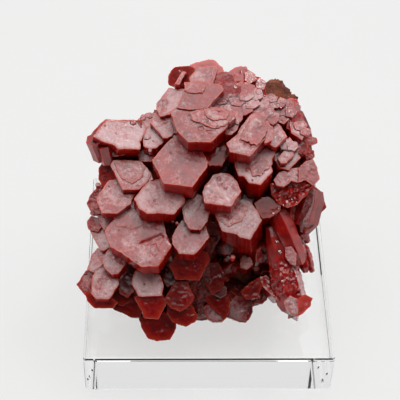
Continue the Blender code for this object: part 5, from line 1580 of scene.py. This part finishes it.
for front in fronts:
    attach(front, "root")
    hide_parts("crystal_cluster")
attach(mass, "root")
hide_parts("crystal_cluster")
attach(blades, "root")
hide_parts("crystal_blades")
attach(rock, "root")
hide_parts("matrix")
for group, name in groups:
    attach(group, "root")
    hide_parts(name)

# acrylic block: the construction's own solid, clear
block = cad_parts["acrylic_block"]
block.data.materials.clear()
block.data.materials.append(acrylic_material())

# ------------------------------------------------------------------ studio
bm = bmesh.new()
bmesh.ops.create_grid(bm, x_segments=8, y_segments=8, size=3.0)
floor_mesh = bpy.data.meshes.new("studio_floor")
bm.to_mesh(floor_mesh)
bm.free()
floor = bpy.data.objects.new("studio_floor", floor_mesh)
bpy.context.scene.collection.objects.link(floor)
floor.location = (0, 0, -0.00005)
floor_mesh.materials.append(floor_material())
floor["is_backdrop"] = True

world = bpy.data.worlds.new("studio")
bpy.context.scene.world = world
world.use_nodes = True
tree = world.node_tree
coord = tree.nodes.new("ShaderNodeTexCoord")
split = tree.nodes.new("ShaderNodeSeparateXYZ")
tree.links.new(coord.outputs["Generated"], split.inputs["Vector"])
ramp = tree.nodes.new("ShaderNodeValToRGB")
ramp.color_ramp.elements[0].position = 0.18
ramp.color_ramp.elements[0].color = (WORLD_FRONT, WORLD_FRONT, WORLD_FRONT, 1)
ramp.color_ramp.elements[1].position = 0.62
ramp.color_ramp.elements[1].color = (WORLD_BACK, WORLD_BACK, WORLD_BACK, 1)
half = tree.nodes.new("ShaderNodeMath")
half.operation = 'MULTIPLY_ADD'
half.inputs[1].default_value = 0.5
half.inputs[2].default_value = 0.5
tree.links.new(split.outputs["Y"], half.inputs[0])
tree.links.new(half.outputs["Value"], ramp.inputs["Fac"])
tree.links.new(ramp.outputs["Color"], tree.nodes["Background"].inputs["Color"])
tree.nodes["Background"].inputs["Strength"].default_value = 1.0


def area_light(name, place, target, size_x, size_y, radiance):
    light = bpy.data.lights.new(name, 'AREA')
    light.shape = 'RECTANGLE'
    light.size = size_x
    light.size_y = size_y
    light.energy = radiance * size_x * size_y * math.pi
    obj = bpy.data.objects.new(name, light)
    bpy.context.scene.collection.objects.link(obj)
    place, target = Vector(place), Vector(target)
    obj.location = place
    if (target - place).xy.length > 1e-6:
        obj.rotation_euler = (target - place).to_track_quat('-Z', 'Y').to_euler()
    return obj


area_light("softbox_overhead", (0.0, 0.095, 0.70), (0, 0.095, 0.0), 1.0, 0.61, SOFTBOX)

aim = Vector(GLINT_AIM)
lamp = area_light("lamp_back_right", aim * 0.60 + Vector((0, 0, 0.03)), (0, 0, 0.03), 0.07, 0.07, 26.0)

camera_data = bpy.data.cameras.new("camera")
camera_data.sensor_width = 36.0
camera_data.lens = 36.0 * BOARD_SCALE / 400.0
camera_data.clip_start = 0.01
camera = bpy.data.objects.new("camera", camera_data)
bpy.context.scene.collection.objects.link(camera)
matrix = Matrix((Vector(RIGHT), Vector(UP), Vector(-FORWARD))).transposed().to_4x4()
matrix.translation = Vector(EYE * MM)
camera.matrix_world = matrix
bpy.context.scene.camera = camera
bpy.context.scene.view_settings.view_transform = 'Standard'

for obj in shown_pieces():
    if obj.type == 'MESH':
        print("PIECE", obj.name, sum(len(p.vertices) - 2 for p in obj.data.polygons))
